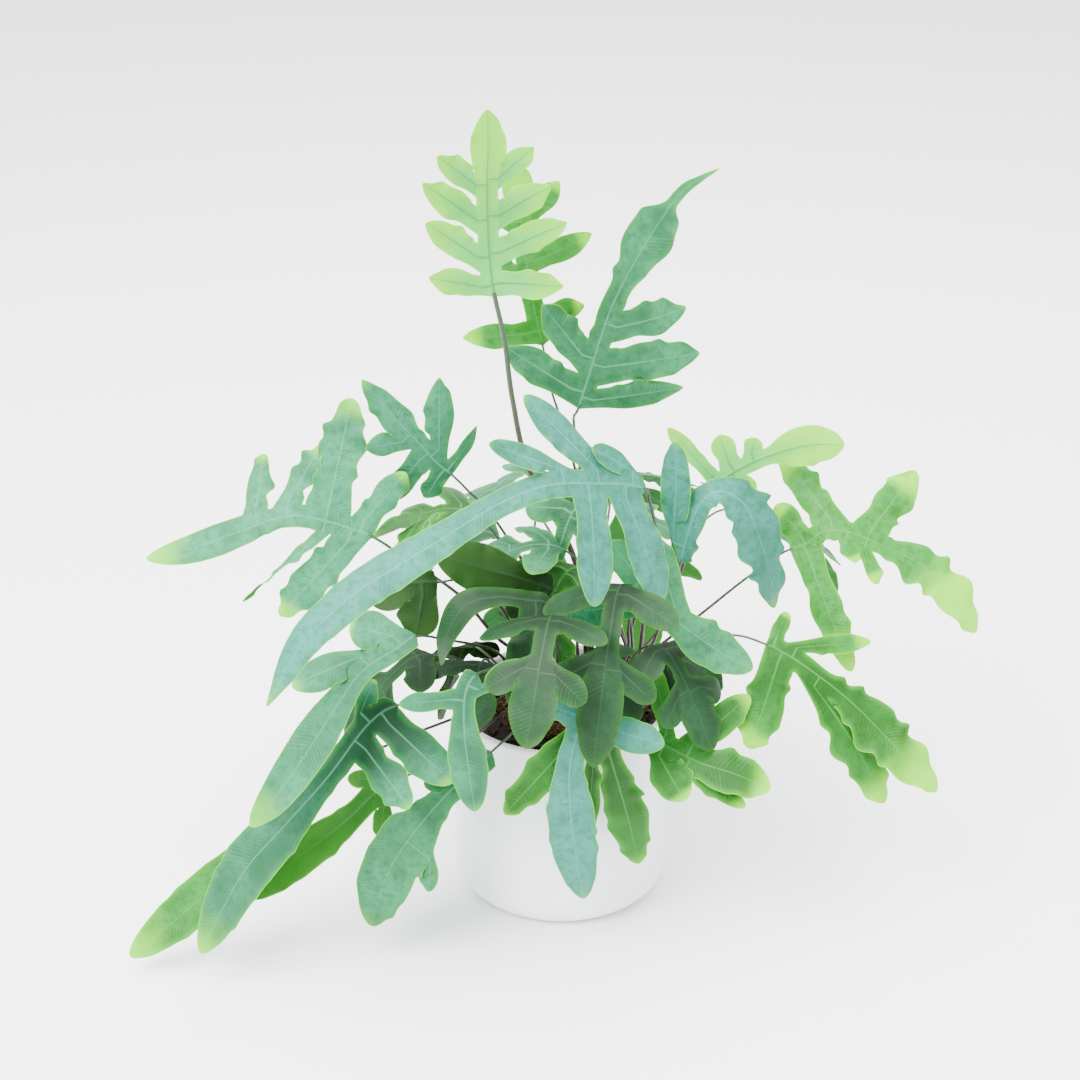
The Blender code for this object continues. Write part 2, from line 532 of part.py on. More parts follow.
def make_pot():
    """Straight-sided pot with a rounded foot and a rounded lip."""
    foot = arc((POT_RADIUS - POT_CORNER, POT_CORNER), POT_CORNER, 270, 360, 6)
    lip_centre = (POT_RADIUS - POT_WALL / 2, POT_HEIGHT - POT_WALL / 2)
    lip = arc(lip_centre, POT_WALL / 2, 0, 180, 6)
    profile = [(0, 0)] + foot + lip + inner_corner()[::-1] + [(0, POT_FLOOR)]
    return turned_object("pot", profile, new_material("white_glaze", (0.86, 0.86, 0.87), 0.35))


def make_soil():
    """Potting mix that fills the pot to just below its lip."""
    corner = [(radius - GAP, height + GAP) for radius, height in inner_corner()]
    top = POT_HEIGHT - SOIL_DROP
    wall = POT_RADIUS - POT_WALL - GAP
    profile = [(0, POT_FLOOR + GAP)] + corner + [(wall, top), (0, top)]
    return turned_object("soil", profile, new_material("potting_mix", (0.06, 0.04, 0.025), 0.95))


def tube_mesh(name, points, radii, sides):
    """A closed tube through the points, with a radius at each."""
    points = np.asarray(points, float)
    ahead = unit(np.gradient(points, axis=0))
    side = unit(np.cross(ahead, TUBE_REFERENCE))
    other = np.cross(ahead, side)
    angles = np.linspace(0, 2 * math.pi, sides, endpoint=False)
    ring = np.cos(angles)[:, None] * side[:, None] + np.sin(angles)[:, None] * other[:, None]
    verts = (points[:, None] + ring * np.asarray(radii)[:, None, None]).reshape(-1, 3)
    faces = [range(sides)[::-1], range(len(verts) - sides, len(verts))]
    for first in range(0, len(verts) - sides, sides):
        for k in range(sides):
            n = (k + 1) % sides
            faces.append((first + k, first + n, first + n + sides, first + k + sides))
    data = bpy.data.meshes.new(name)
    data.from_pydata([Vector(vert) for vert in verts], [], [list(face) for face in faces])
    data.shade_smooth()
    return data


def make_rhizome(name, material):
    """A furry rhizome that creeps over the potting mix, with rounded ends."""
    height = POT_HEIGHT - SOIL_DROP + GAP + RHIZOME_RADIUS
    creep = Route([(x, y, 0) for x, y in RHIZOMES[name]])
    count = math.ceil(creep.length / RHIZOME_SPACING)
    where = np.linspace(0, creep.length, count + 1)
    points = place(creep.at(where))
    points[:, 2] = height
    radii = np.full(len(points), RHIZOME_RADIUS)
    radii[[0, -1]] *= 0.6
    data = tube_mesh("rhizome_" + name, points, radii, RHIZOME_SIDES)
    return new_object("rhizome_" + name, data, material)


def make_stalk(frond, overlap, material):
    """The wiry stalk of a frond, from its rhizome to just inside the base of its blade."""
    route, start = frond_route(frond)
    end = start + overlap
    count = max(3, math.ceil(end / STALK_SPACING))
    points = place(route.at(np.linspace(0, end, count + 1)))
    radii = np.linspace(STALK_FOOT_RADIUS, STALK_TOP_RADIUS, count + 1)
    data = tube_mesh("stalk", points, radii, STALK_SIDES)
    return new_object("stalk", data, material)


def solid_mesh(item):
    """The mesh of an object with its modifiers applied."""
    view = bpy.context.evaluated_depsgraph_get()
    return bpy.data.meshes.new_from_object(item.evaluated_get(view))


def volume(data):
    """The volume that a mesh encloses."""
    mesh = bmesh.new()
    mesh.from_mesh(data)
    room = mesh.calc_volume()
    mesh.free()
    return room


def make_frond(frond, material):
    """A whole frond: a lobed sheet given its thickness and grown together with its stalk."""
    verts, faces = blade_sheet(frond)
    name = "frond_" + frond["name"]
    data = bpy.data.meshes.new(name)
    data.from_pydata([Vector(point) for point in place(verts)], [], faces)
    blade = new_object(name, data, material)
    shell = blade.modifiers.new("Thickness", "SOLIDIFY")
    shell.thickness = LEAF_THICKNESS
    shell.offset = 0
    union = blade.modifiers.new("Union", "BOOLEAN")
    union.operation = "UNION"
    union.solver = "EXACT"
    for overlap in STALK_OVERLAPS:
        stalk = make_stalk(frond, overlap, material)
        union.object = stalk
        grown = solid_mesh(blade)
        whole = volume(grown) > volume(stalk.data)
        bpy.data.objects.remove(stalk)
        if whole:
            break
    grown.shade_smooth()
    blade.modifiers.clear()
    blade.data = grown
    return blade


def build():
    """Clear the scene and make every sub-part."""
    for item in list(bpy.data.objects):
        bpy.data.objects.remove(item)
    make_pot()
    make_soil()
    fur = new_material("rhizome_fur", (0.36, 0.20, 0.07), 0.9)
    for name in RHIZOMES:
        make_rhizome(name, fur)
    leaf = new_material("leaf", (0.20, 0.42, 0.30), 0.55)
    for frond in all_fronds():
        make_frond(frond, leaf)


build()
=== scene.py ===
"""Looks of the potted blue-green fern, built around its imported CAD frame.

Frond layouts are in millimetres, as in the CAD source, and place() fits them to the frame.
"""
import math

import bmesh
import bpy
import numpy as np
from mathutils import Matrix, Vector, noise


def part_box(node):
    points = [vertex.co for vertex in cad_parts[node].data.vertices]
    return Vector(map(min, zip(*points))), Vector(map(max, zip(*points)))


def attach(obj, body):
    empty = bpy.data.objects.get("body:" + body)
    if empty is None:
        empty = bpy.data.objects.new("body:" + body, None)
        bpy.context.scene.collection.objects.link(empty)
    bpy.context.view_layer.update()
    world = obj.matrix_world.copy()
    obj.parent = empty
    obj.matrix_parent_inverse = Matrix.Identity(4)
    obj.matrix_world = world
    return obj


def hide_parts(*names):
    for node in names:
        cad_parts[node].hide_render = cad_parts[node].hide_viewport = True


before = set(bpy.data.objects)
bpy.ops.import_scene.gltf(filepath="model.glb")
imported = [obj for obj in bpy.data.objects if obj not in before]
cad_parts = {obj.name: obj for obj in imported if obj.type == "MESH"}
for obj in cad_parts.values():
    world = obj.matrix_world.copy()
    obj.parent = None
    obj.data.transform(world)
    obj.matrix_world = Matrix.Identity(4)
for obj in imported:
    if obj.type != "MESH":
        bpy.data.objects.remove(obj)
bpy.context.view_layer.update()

# Own sizes of the pot and the plant, in metres
MM = 0.001
PLANT_REACH = 0.300
POT_CORNER = 0.017
FOOT_RING = 0.050
FOOT_EDGE = 0.002
FOOT_RECESS = 0.0015
SOIL_GAP = 0.0005

# Sizes read from the frame, in metres
POT_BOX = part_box("pot")
SOIL_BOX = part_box("soil")
RHIZOME_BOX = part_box("rhizome_back")
TOP_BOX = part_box("frond_top_young")
POT_RADIUS = POT_BOX[1].x
POT_HEIGHT = POT_BOX[1].z
SOIL_TOP = SOIL_BOX[1].z
SOIL_RADIUS = SOIL_BOX[1].x
RHIZOME_RADIUS = (RHIZOME_BOX[1].z - RHIZOME_BOX[0].z) / 2
RHIZOME_HEIGHT = (RHIZOME_BOX[1].z + RHIZOME_BOX[0].z) / 2
CROWN = TOP_BOX[0].z
PLANT_HEIGHT = TOP_BOX[1].z
POT_WALL = POT_RADIUS - SOIL_RADIUS - SOIL_GAP
POT_FLOOR = SOIL_BOX[0].z - SOIL_GAP

# The nominal plant that the layouts below are drawn for, in millimetres
LAYOUT_POT_RADIUS = 75
LAYOUT_REACH = 300
LAYOUT_SOIL = 128
LAYOUT_CROWN = 143
LAYOUT_HEIGHT = 543

# Fineness of the leaf surfaces and their relief, in millimetres
ROW_SPACING = 2.2
RIB_HALF = 0.8
COLUMN_SHARES = (0.25, 0.5, 0.72, 0.88, 1.0)
TIP_SHARES = (0.992, 0.9965, 0.999)
LOBE_TIP_SHARES = (0.955, 0.972, 0.986, 0.995)
LEAF_THICKNESS = 0.45
EDGE_THICKNESS = 0.28
LOBE_BODY = 0.94
LOBE_SAMPLES = 49
BLADE_RIB = 1.2
RELIEF_HALF = 0.9 * RIB_HALF
TIP_MARGIN = 1.02

# Where a side lobe joins its blade: the share of its width, and the least it takes up
JOIN_SHARE = 0.95
LEAST_JOIN = 7

# Ruffles of the margins, in millimetres: their length, the longer waves by which it drifts and
# by which they grow and fade, how far they cut in evenly and in waves, how far they lift, and
# how steeply the lift grows towards the margin
RUFFLE_PERIOD = 20.0
RUFFLE_DRIFT = 41
RUFFLE_FADE = 57
RUFFLE_DEPTH = 2.9
EVEN_CUT = 0.2
WAVE_CUT = 0.5
RUFFLE_LIFT = 2.5
LIFT_POWER = 2.2

# Stalks, in millimetres, with their number of sides and how far they reach into the blade
STALK_FOOT_RADIUS = 1.2
STALK_TOP_RADIUS = 0.8
STALK_SIDES = 12
STALK_SPACING = 3.0
STALK_REACH = 3.0

# How far a frond rises straight from its foot, in millimetres
FOOT_RISE = 10

# Where a short frond's arch is highest, as a share of its reach
ARCH_TOP = 0.55

# Potting mix and fur: rings and steps of the mix's top, chips on it, sides of a rhizome, and
# scales for each millimetre of it
SOIL_RINGS = 26
SOIL_STEPS = 96
CHIP_COUNT = 900
RHIZOME_SIDES = 20
SCALES_PER_MM = 22

# Rhizomes: where each creeps over the potting mix, as (x, y)
RHIZOMES = {
    "back": [(2, 34), (22, 41), (42, 35), (53, 19)],
    "left": [(-48, -4), (-34, 10), (-14, 20), (6, 13), (22, 18)],
    "front": [(-38, -14), (-20, -30), (8, -30), (36, -20), (52, -4), (50, 8)],
}

# Fronds of each rhizome, in millimetres of the layout, in the order in which they grow on it.
# "stalk" and "blade" are the points that the midrib passes, from the crown to the tip.
# "faces" is where the blade's upper side looks, from its base to its tip.
# "terminal" is the share of the blade where its end lobe begins, "wing" the half width
# beside the midrib before that, and "width" the full width of the end lobe.
# Each side lobe is (share along the blade, side, length, width, forward angle), and then
# its droop, sweep and twist in degrees where it has any.
# What differs from PLAIN, below, follows the width.
REAR_LOBES = [(0.1, 1, 67, 26, 20, 20), (0.12, -1, 63, 25, 20, 20), (0.28, 1, 59, 25, 28, 20),
              (0.3, -1, 55, 24, 28, 20), (0.45, 1, 42, 22, 35, 20), (0.47, -1, 39, 20, 35, 20)]
FRONDS = {"back": [
    dict(name="upper_left", terminal=0.35, wing=7, width=21, kind="sea", pointed=True, waves=0.8,
         bloom_and_painted_light=0.35, painted_shade=0.3,
         faces=[(-0.2, -0.9, 0.5), (-0.4, -0.8, 0.6)],
         stalk=[(-11, 30, 200), (-45, 25, 264), (-63, 22, 287)],
         blade=[(-73, 20, 299), (-83, 18, 309), (-96, 14, 327), (-112, 10, 348), (-129, 6, 372)],
         lobes=[(0.05, 1, 29, 10, -2, 0, 20, 30), (0.06, -1, 18, 16, -11, 30),
                (0.25, -1, 45, 20, -17, 20), (0.22, 1, 52, 21, 52), (0.45, -1, 24, 18, 32)]),
    dict(name="back_left", terminal=0.6, wing=8, width=32, kind="green",
         faces=[(0, -0.2, 1), (-0.5, 0.7, 0.5)], stalk=[(6, 70, 200), (-18, 108, 232)],
         blade=[(-38, 132, 236), (-76, 165, 214), (-108, 190, 172), (-130, 204, 122)],
         lobes=REAR_LOBES),
    dict(name="top_young", terminal=0.62, wing=7, width=24, kind="young", young=True, pointed=True,
         stout=2.0, ripe=0.6,
         faces=[(0, 1, 0.2), (-0.2, 1, 0.2)],
         stalk=[(9, 46, 223), (-22, 48, 290), (-33, 46, 342), (-38, 43, 385)],
         blade=[(-44, 40, 416), (-47, 40, 439), (-48, 37, 468), (-48, 32, 496), (-47, 28, 516),
                (-47, 22, 543)],
         lobes=[(0.05, 1, 35, 19, 20, 10), (0.06, -1, 39, 20, -10, 10), (0.21, 1, 42, 21, 41, 10),
                (0.23, -1, 48, 23, 24, 10), (0.41, 1, 44, 21, 41, 10), (0.43, -1, 39, 22, 31, 10),
                (0.6, 1, 33, 18, 43, 10), (0.63, -1, 31, 17, 46, 10)]),
    dict(name="top_rear", terminal=0.7, wing=7, width=22, kind="fresh", pointed=True, bloom_and_painted_light=1.0,
         ripe=1.3,
         faces=[(0, -1, 0.3), (0.1, -1, 0.2)], stalk=[(28, 75, 193), (6, 92, 286), (-7, 98, 328)],
         blade=[(-13, 100, 360), (-20, 100, 393), (-25, 98, 428), (-28, 95, 460), (-31, 90, 492)],
         lobes=[(0.08, -1, 46, 19, 7, 15), (0.15, 1, 27, 18, 0, 10), (0.38, -1, 38, 20, 41, 10),
                (0.46, 1, 41, 18, 11, 10, 10), (0.67, -1, 28, 18, 43, 10), (0.71, 1, 28, 18, 43, 10)]),
    dict(name="back", terminal=0.6, wing=8, width=32, kind="green",
         faces=[(0, -0.2, 1), (0, 0.9, 0.4)], stalk=[(30, 72, 205), (36, 115, 240)],
         blade=[(40, 140, 246), (48, 182, 226), (52, 212, 178), (54, 226, 124)],
         lobes=REAR_LOBES),
    dict(name="upper_right", terminal=0.42, wing=8, width=33, kind="green", pointed=True,
         tail=(0.5, 0.3), stout=1.2, waves=1.2, bloom_and_painted_light=0.35, painted_shade=0.45,
         faces=[(0, -1, 0.2), (0, -1, 0.3)], stalk=[(27, 58, 201), (15, 62, 269), (8, 60, 319)],
         blade=[(11, 60, 330), (19, 62, 357), (25, 65, 377), (33, 68, 400), (46, 70, 427),
                (63, 75, 455), (79, 78, 476), (102, 82, 489)],
         lobes=[(0.04, 1, 61, 20, 24, 10), (0.06, -1, 53, 26, 15, 10), (0.17, 1, 65, 29, 24, 10),
                (0.19, -1, 43, 25, 35, 10), (0.32, 1, 48, 27, 29, 10, 10)]),
    dict(name="back_right", terminal=0.6, wing=8, width=32, kind="green",
         faces=[(0, -0.2, 1), (0.5, 0.7, 0.5)], stalk=[(62, 62, 200), (98, 92, 228)],
         blade=[(120, 110, 232), (156, 138, 214), (186, 160, 176), (206, 172, 128)],
         lobes=REAR_LOBES),
    dict(name="right_bright", terminal=0.45, wing=6, width=28, kind="young", young=True, ripe=1.0,
         faces=[(0, 0.9, -0.4), (0, 0.9, -0.4)], stalk=[(72, 45, 177), (88, 50, 233), (96, 48, 268)],
         blade=[(101, 46, 278), (122, 46, 293), (145, 45, 304), (167, 42, 311), (188, 38, 313)],
         lobes=[(0.05, 1, 44, 12, -7), (0.2, 1, 21, 17, 10), (0.18, -1, 15, 17, 23),
                (0.36, 1, 11, 14, 40)]),
    dict(name="far_right", terminal=0.4, wing=7, width=31, kind="fresh", waves=1.3, bloom_and_painted_light=1.0, ripe=1.6,
         faces=[(0, -0.8, 0.6), (0.2, -0.6, 0.7)],
         stalk=[(68, 26, 167), (96, 26, 192), (123, 26, 217), (146, 26, 236)],
         blade=[(154, 26, 241), (165, 25, 246), (174, 23, 255), (189, 20, 258), (206, 16, 253),
                (236, 8, 241), (258, -4, 226), (275, -18, 201)],
         lobes=[(0.06, 1, 84, 23, -3, 10), (0.07, -1, 27, 20, -15), (0.21, -1, 62, 22, -31),
                (0.37, -1, 53, 26, 14), (0.28, 1, 16, 14, 41, 10), (0.37, 1, 26, 13, 44, 10)]),
], "left": [
    dict(name="low_left_outer", terminal=0.3, wing=8, width=32, kind="fresh", bloom_and_painted_light=0.5, ripe=0.5,
         faces=[(-0.2, -0.8, 0.6), (-0.3, -0.8, 0.5)], stalk=[(-42, -34, 159), (-107, -62, 145)],
         blade=[(-153, -76, 126), (-179, -88, 105), (-205, -98, 82), (-228, -106, 60),
                (-259, -114, 34), (-286, -120, 13)],
         lobes=[]),
    dict(name="left_strap", terminal=0.26, wing=8, width=30, kind="sea", waves=0.6, bloom_and_painted_light=0.45,
         ripe=0.4,
         faces=[(-0.1, -0.7, 0.7), (-0.4, -0.7, 0.6)], stalk=[(-45, -30, 194), (-76, -62, 220)],
         blade=[(-93, -80, 232), (-106, -92, 229), (-126, -106, 221), (-142, -118, 202),
                (-157, -128, 181), (-177, -136, 153), (-197, -140, 129)],
         lobes=[(0.07, 1, 28, 30, 33), (0.23, 1, 47, 24, 71, 20)]),
    dict(name="inner_left_low", terminal=0.3, wing=8, width=26, kind="deep", young=True, painted_shade=0.6,
         faces=[(0.1, 0.7, -0.6), (0.1, 0.7, -0.6)], stalk=[(-28, -6, 189), (-54, -28, 243)],
         blade=[(-81, -44, 252), (-92, -48, 254), (-104, -52, 253), (-122, -58, 243)],
         lobes=[(0.19, 1, 29, 28, 17)]),
    dict(name="left", terminal=0.42, wing=8, width=25, kind="sea", stout=1.2, waves=1.4, bloom_and_painted_light=0.45,
         ripe=0.7,
         faces=[(-0.1, -0.8, 0.6), (0, -0.7, 0.7), (-0.3, -0.5, 0.9)],
         stalk=[(-42, 8, 181), (-67, -2, 219), (-93, -10, 245), (-110, -14, 260)],
         blade=[(-124, -16, 271), (-138, -16, 277), (-153, -16, 282), (-177, -16, 286),
                (-207, -18, 277), (-240, -22, 266), (-271, -24, 259)],
         lobes=[(0.05, 1, 42, 20, -22), (0.21, 1, 77, 31, 1), (0.09, -1, 66, 27, 24, 10),
                (0.37, 1, 45, 18, -34), (0.21, -1, 68, 10, 36, 10, 0, 120), (0.5, 1, 40, 18, -24)]),
    dict(name="inner_left", terminal=0.3, wing=7, width=22, kind="deep", waves=0.7, painted_shade=0.6,
         faces=[(0.2, -0.5, 0.8), (0, -0.5, 0.9), (-0.9, -0.4, 0.3)],
         stalk=[(5, -16, 183), (4, -38, 221)],
         blade=[(-8, -53, 241), (-24, -59, 247), (-43, -65, 252), (-62, -71, 249), (-74, -76, 230),
                (-78, -78, 210)],
         lobes=[(0.09, -1, 70, 30, 13, 30)]),
    dict(name="inner_front", terminal=0.2, wing=10, width=36, kind="deep", young=True, painted_shade=0.6,
         faces=[(0, 0.6, -0.6), (0, 0.6, -0.7)], stalk=[(19, -8, 190), (6, -22, 222)],
         blade=[(-7, -32, 240), (-28, -38, 252), (-47, -45, 261), (-66, -50, 270), (-81, -53, 275)],
         lobes=[(0.09, 1, 25, 24, 50)]),
], "front": [
    dict(name="lower_left", terminal=0.3, wing=9, width=37, kind="sea", waves=0.8, bloom_and_painted_light=0.3, painted_shade=1.0,
         ripe=0.4,
         faces=[(-0.2, -0.8, 0.6), (-0.3, -0.8, 0.5)], stalk=[(-38, -40, 170), (-73, -64, 178)],
         blade=[(-106, -84, 184), (-125, -94, 175), (-151, -106, 143), (-181, -117, 111),
                (-207, -124, 81), (-236, -136, 28)],
         lobes=[(0.05, -1, 56, 28, -11), (0.17, -1, 48, 24, 13), (0.1, 1, 23, 14, -66)]),
    dict(name="low_left_pale", terminal=0.2, wing=9, width=28, kind="fresh", young=True, waves=0.9,
         painted_shade=0.6, ripe=0.4,
         faces=[(0.1, 0.6, -0.6), (0.1, 0.7, -0.6)], stalk=[(-41, -56, 160), (-80, -69, 133)],
         blade=[(-116, -77, 119), (-140, -87, 100), (-158, -95, 88), (-182, -105, 73),
                (-203, -111, 53)],
         lobes=[(0.05, -1, 16, 14, 46), (0.06, 1, 23, 14, 47)]),
    dict(name="low_left_broad", terminal=0.25, wing=9, width=40, kind="green", waves=0.9, bloom_and_painted_light=0.25,
         painted_shade=0.3,
         faces=[(0, -0.8, 0.6), (-0.2, -1, 0.3)], stalk=[(-15, -60, 174), (-31, -80, 163)],
         blade=[(-46, -92, 154), (-69, -102, 135), (-92, -108, 109), (-113, -110, 75),
                (-127, -108, 29)],
         lobes=[(0.15, 1, 24, 18, 82), (0.53, -1, 22, 13, 59)]),
    dict(name="front_narrow", terminal=0.25, wing=7, width=25, kind="sea", bloom_and_painted_light=0.25, painted_shade=0.3,
         faces=[(0, -0.8, 0.6), (0, -1, 0.2)], stalk=[(-15, -52, 190), (-37, -87, 213)],
         blade=[(-54, -109, 221), (-61, -117, 212), (-62, -123, 189), (-59, -125, 157),
                (-56, -125, 130)],
         lobes=[(0.1, -1, 34, 14, -55), (0.2, 1, 34, 13, 12)]),
    dict(name="front_hanging", terminal=0.18, wing=8, width=32, bloom_and_painted_light=0.8,
         faces=[(0, -0.8, 0.6), (0, -1, 0.2)], stalk=[(19, -52, 186), (18, -80, 194)],
         blade=[(16, -97, 191), (10, -106, 180), (4, -112, 153), (6, -112, 107), (14, -104, 48)],
         lobes=[(0.06, -1, 46, 22, -8), (0.06, 1, 28, 18, 7)]),
    dict(name="front_second", terminal=0.3, wing=8, width=29, kind="fresh", young=True, waves=1.0,
         bloom_and_painted_light=-0.1, painted_shade=0.9,
         faces=[(0, -0.8, 0.6), (0.2, -1, 0.2)], stalk=[(26, -50, 176), (21, -72, 185)],
         blade=[(19, -84, 184), (24, -92, 172), (33, -95, 142), (43, -94, 103), (51, -90, 66)],
         lobes=[(0.07, 1, 78, 25, 27, 10), (0.22, 1, 64, 14, 69)]),
    dict(name="low_right", terminal=0.3, wing=8, width=30, kind="fresh", young=True, waves=0.7,
         bloom_and_painted_light=0.2, painted_shade=0.3, ripe=0.7,
         faces=[(0, -0.7, 0.7), (0.2, -0.7, 0.7)], stalk=[(45, -50, 164), (51, -66, 158)],
         blade=[(57, -76, 155), (66, -82, 153), (88, -92, 146), (111, -100, 142), (133, -107, 135)],
         lobes=[(0.1, -1, 49, 14, -38), (0.32, -1, 51, 22, 20), (0.11, 1, 34, 27, 57, 10),
                (0.35, 1, 46, 15, 87, 20)]),
    dict(name="centre_right", terminal=0.25, wing=6, width=30, kind="green", waves=0.6, bloom_and_painted_light=0.8,
         painted_shade=0.2,
         faces=[(0, -0.8, 0.7), (0.2, -0.8, 0.6)], stalk=[(43, -24, 187), (43, -40, 218)],
         blade=[(46, -50, 246), (51, -52, 246), (67, -59, 236), (88, -67, 223), (106, -73, 213),
                (121, -78, 207)],
         lobes=[(0.09, 1, 61, 24, -48, -5), (0.08, -1, 41, 22, -75), (0.31, -1, 50, 22, -52)]),
    dict(name="inner_right", terminal=0.2, wing=7, width=22, kind="deep", young=True, painted_shade=0.6,
         faces=[(0, -0.6, 0.8), (0.2, -0.6, 0.8)], stalk=[(63, -20, 158)],
         blade=[(60, -26, 173), (65, -30, 185), (78, -34, 189), (94, -38, 182), (106, -40, 170)],
         lobes=[(0.31, 1, 23, 18, 36)]),
    dict(name="lower_right", terminal=0.3, wing=8, width=36, kind="fresh", young=True, waves=1.1,
         bloom_and_painted_light=0.25, painted_shade=0.35, ripe=1.0,
         faces=[(0.1, -0.7, 0.7), (0.3, -0.7, 0.7)], stalk=[(86, -17, 195), (114, -27, 204)],
         blade=[(134, -32, 200), (147, -34, 194), (166, -38, 182), (189, -44, 165), (210, -52, 146),
                (248, -70, 110)],
         lobes=[(0.03, -1, 19, 12, 3), (0.07, 1, 61, 31, 8, 10), (0.13, -1, 53, 14, 53),
                (0.28, 1, 97, 30, 73, 30)]),
    dict(name="front_arch", terminal=0.36, wing=9, width=27, tail=(0.85, 0.6), stout=1.3, waves=0.8,
         bloom_and_painted_light=0.5,
         faces=[(0, -0.9, 0.6), (-0.2, -0.8, 0.7), (-0.6, -0.8, 0.4)],
         stalk=[(55, -12, 215), (60, -24, 273), (55, -32, 305)],
         blade=[(52, -38, 315), (39, -48, 323), (22, -60, 329), (-9, -82, 338), (-39, -100, 334),
                (-75, -118, 318), (-98, -128, 307), (-122, -136, 294), (-140, -141, 280),
                (-158, -146, 262), (-180, -152, 223)],
         lobes=[(0.04, 1, 37, 16, 74), (0.06, -1, 72, 33, -27, 10), (0.13, 1, 67, 24, 46),
                (0.16, -1, 68, 30, 4, 10), (0.22, 1, 53, 17, 70)]),
    dict(name="right_arch", terminal=0.3, wing=9, width=38, waves=1.0, bloom_and_painted_light=0.6,
         faces=[(-0.5, -0.8, 0.2), (0, -0.7, 0.8), (0.8, -0.6, 0.2)],
         stalk=[(63, 8, 181), (71, 6, 209), (75, 5, 225)],
         blade=[(79, 5, 242), (84, 2, 269), (92, 0, 290), (104, 0, 296), (120, 4, 284), (133, 8, 253),
                (141, 10, 222), (144, 10, 205)],
         lobes=[(0.07, -1, 77, 24, 82, -10)]),
]}

# What a frond has unless its line above says otherwise: its kind of leaf, a stalk of plain
# thickness, calm margins, some wax bloom and painted light on its upper side, no painted shade
# towards its base and no ripe tip. A tail is where its end lobe thins out and the share of width it
# keeps.
PLAIN = dict(kind="glaucous", young=False, pointed=False, tail=None, stout=1.0, waves=0.5,
             bloom_and_painted_light=0.25, painted_shade=0.0, ripe=0.0)

# Short fronds that fill the crown: kind of leaf, rhizome, share along it, heading in degrees,
# rise above the crown, reach, drop from the top of the arch to the tip, and bend to the left
SHORT_FRONDS = [
    ("deep", "front", 0.85, 260, 110, 120, 100, -10),
    ("deep", "front", 0.35, 270, 100, 120, 60, -20),
    ("sea", "left", 0.29, 90, 50, 100, 100, -10),
    ("deep", "left", 0.03, 220, 40, 110, 50, -20),
    ("deep", "left", 0.19, 170, 20, 50, 70, -20),
    ("fresh", "back", 0.89, 210, 90, 100, 80, 20),
    ("green", "back", 0.67, 190, 120, 60, 90, 20),
    ("deep", "front", 0.18, 330, 50, 90, 30, -10),
    ("deep", "left", 0.12, 250, 40, 100, 20, 20),
    ("sea", "left", 0.36, 80, 120, 120, 60, -20),
    ("deep", "front", 0.68, 300, 60, 90, 60, 20),
    ("green", "back", 0.33, 20, 100, 70, 30, 0),
    ("green", "front", 0.91, 190, 110, 120, 20, -10),
    ("deep", "left", 0.49, 80, 30, 60, 10, 20),
    ("fresh", "left", 0.63, 170, 120, 120, 20, 20),
    ("green", "back", 0.12, 170, 90, 120, 60, -10),
    ("fresh", "back", 0.78, 80, 60, 90, 120, 0),
]
# Painted shade towards the base of every short frond's blade
SHORT_PAINTED_SHADE = 0.7

# Leaf colours of each kind, in the order of COLOUR_PARTS. The second is the pale wax bloom, also
# used as painted light on the fronds that face the light. "outer" is the underside away from
# its base, and "through" the light that comes through the blade.
COLOUR_PARTS = ("upper", "bloom_and_painted_light", "margin", "under", "vein", "tip", "outer", "through")
COLOURS = {
    "glaucous": ((0.01, 0.115, 0.062), (0.036, 0.245, 0.185), (0.02, 0.22, 0.07), (0.02, 0.15, 0.045),
                 (0.1, 0.38, 0.25), (0.2, 0.64, 0.02), (0.03, 0.19, 0.05), (0.02, 0.3, 0.04)),
    "sea": ((0.009, 0.1, 0.038), (0.03, 0.25, 0.122), (0.024, 0.23, 0.045), (0.018, 0.14, 0.03),
            (0.09, 0.35, 0.19), (0.19, 0.66, 0.018), (0.028, 0.18, 0.03), (0.025, 0.31, 0.025)),
    "green": ((0.008, 0.085, 0.03), (0.026, 0.235, 0.09), (0.024, 0.22, 0.035), (0.016, 0.13, 0.02),
              (0.085, 0.33, 0.15), (0.17, 0.6, 0.02), (0.026, 0.17, 0.02), (0.025, 0.3, 0.02)),
    "fresh": ((0.01, 0.085, 0.005), (0.032, 0.235, 0.028), (0.05, 0.31, 0.016), (0.018, 0.13, 0.01),
              (0.08, 0.33, 0.06), (0.24, 0.76, 0.016), (0.04, 0.2, 0.012), (0.05, 0.42, 0.01)),
    "young": ((0.14, 0.56, 0.03), (0.24, 0.78, 0.08), (0.3, 0.86, 0.03), (0.12, 0.5, 0.11),
              (0.03, 0.15, 0.07), (0.3, 0.74, 0.015), (0.26, 0.68, 0.015), (0.22, 0.74, 0.015)),
    # Painted shade: a darkened copy of the green colours, for fronds inside the crown and under others
    "deep": ((0.007, 0.036, 0.008), (0.014, 0.072, 0.024), (0.016, 0.095, 0.008), (0.01, 0.044, 0.004),
             (0.026, 0.11, 0.03), (0.03, 0.15, 0.008), (0.014, 0.06, 0.004), (0.014, 0.1, 0.004)),
}


def unit(vectors):
    """Scale vectors to length one."""
    vectors = np.asarray(vectors, float)
    return vectors / np.maximum(np.linalg.norm(vectors, axis=-1, keepdims=True), 1e-9)


def smoothstep(x):
    """Ease from 0 to 1 as x goes from 0 to 1."""
    x = np.clip(x, 0.0, 1.0)
    return x * x * (3 - 2 * x)


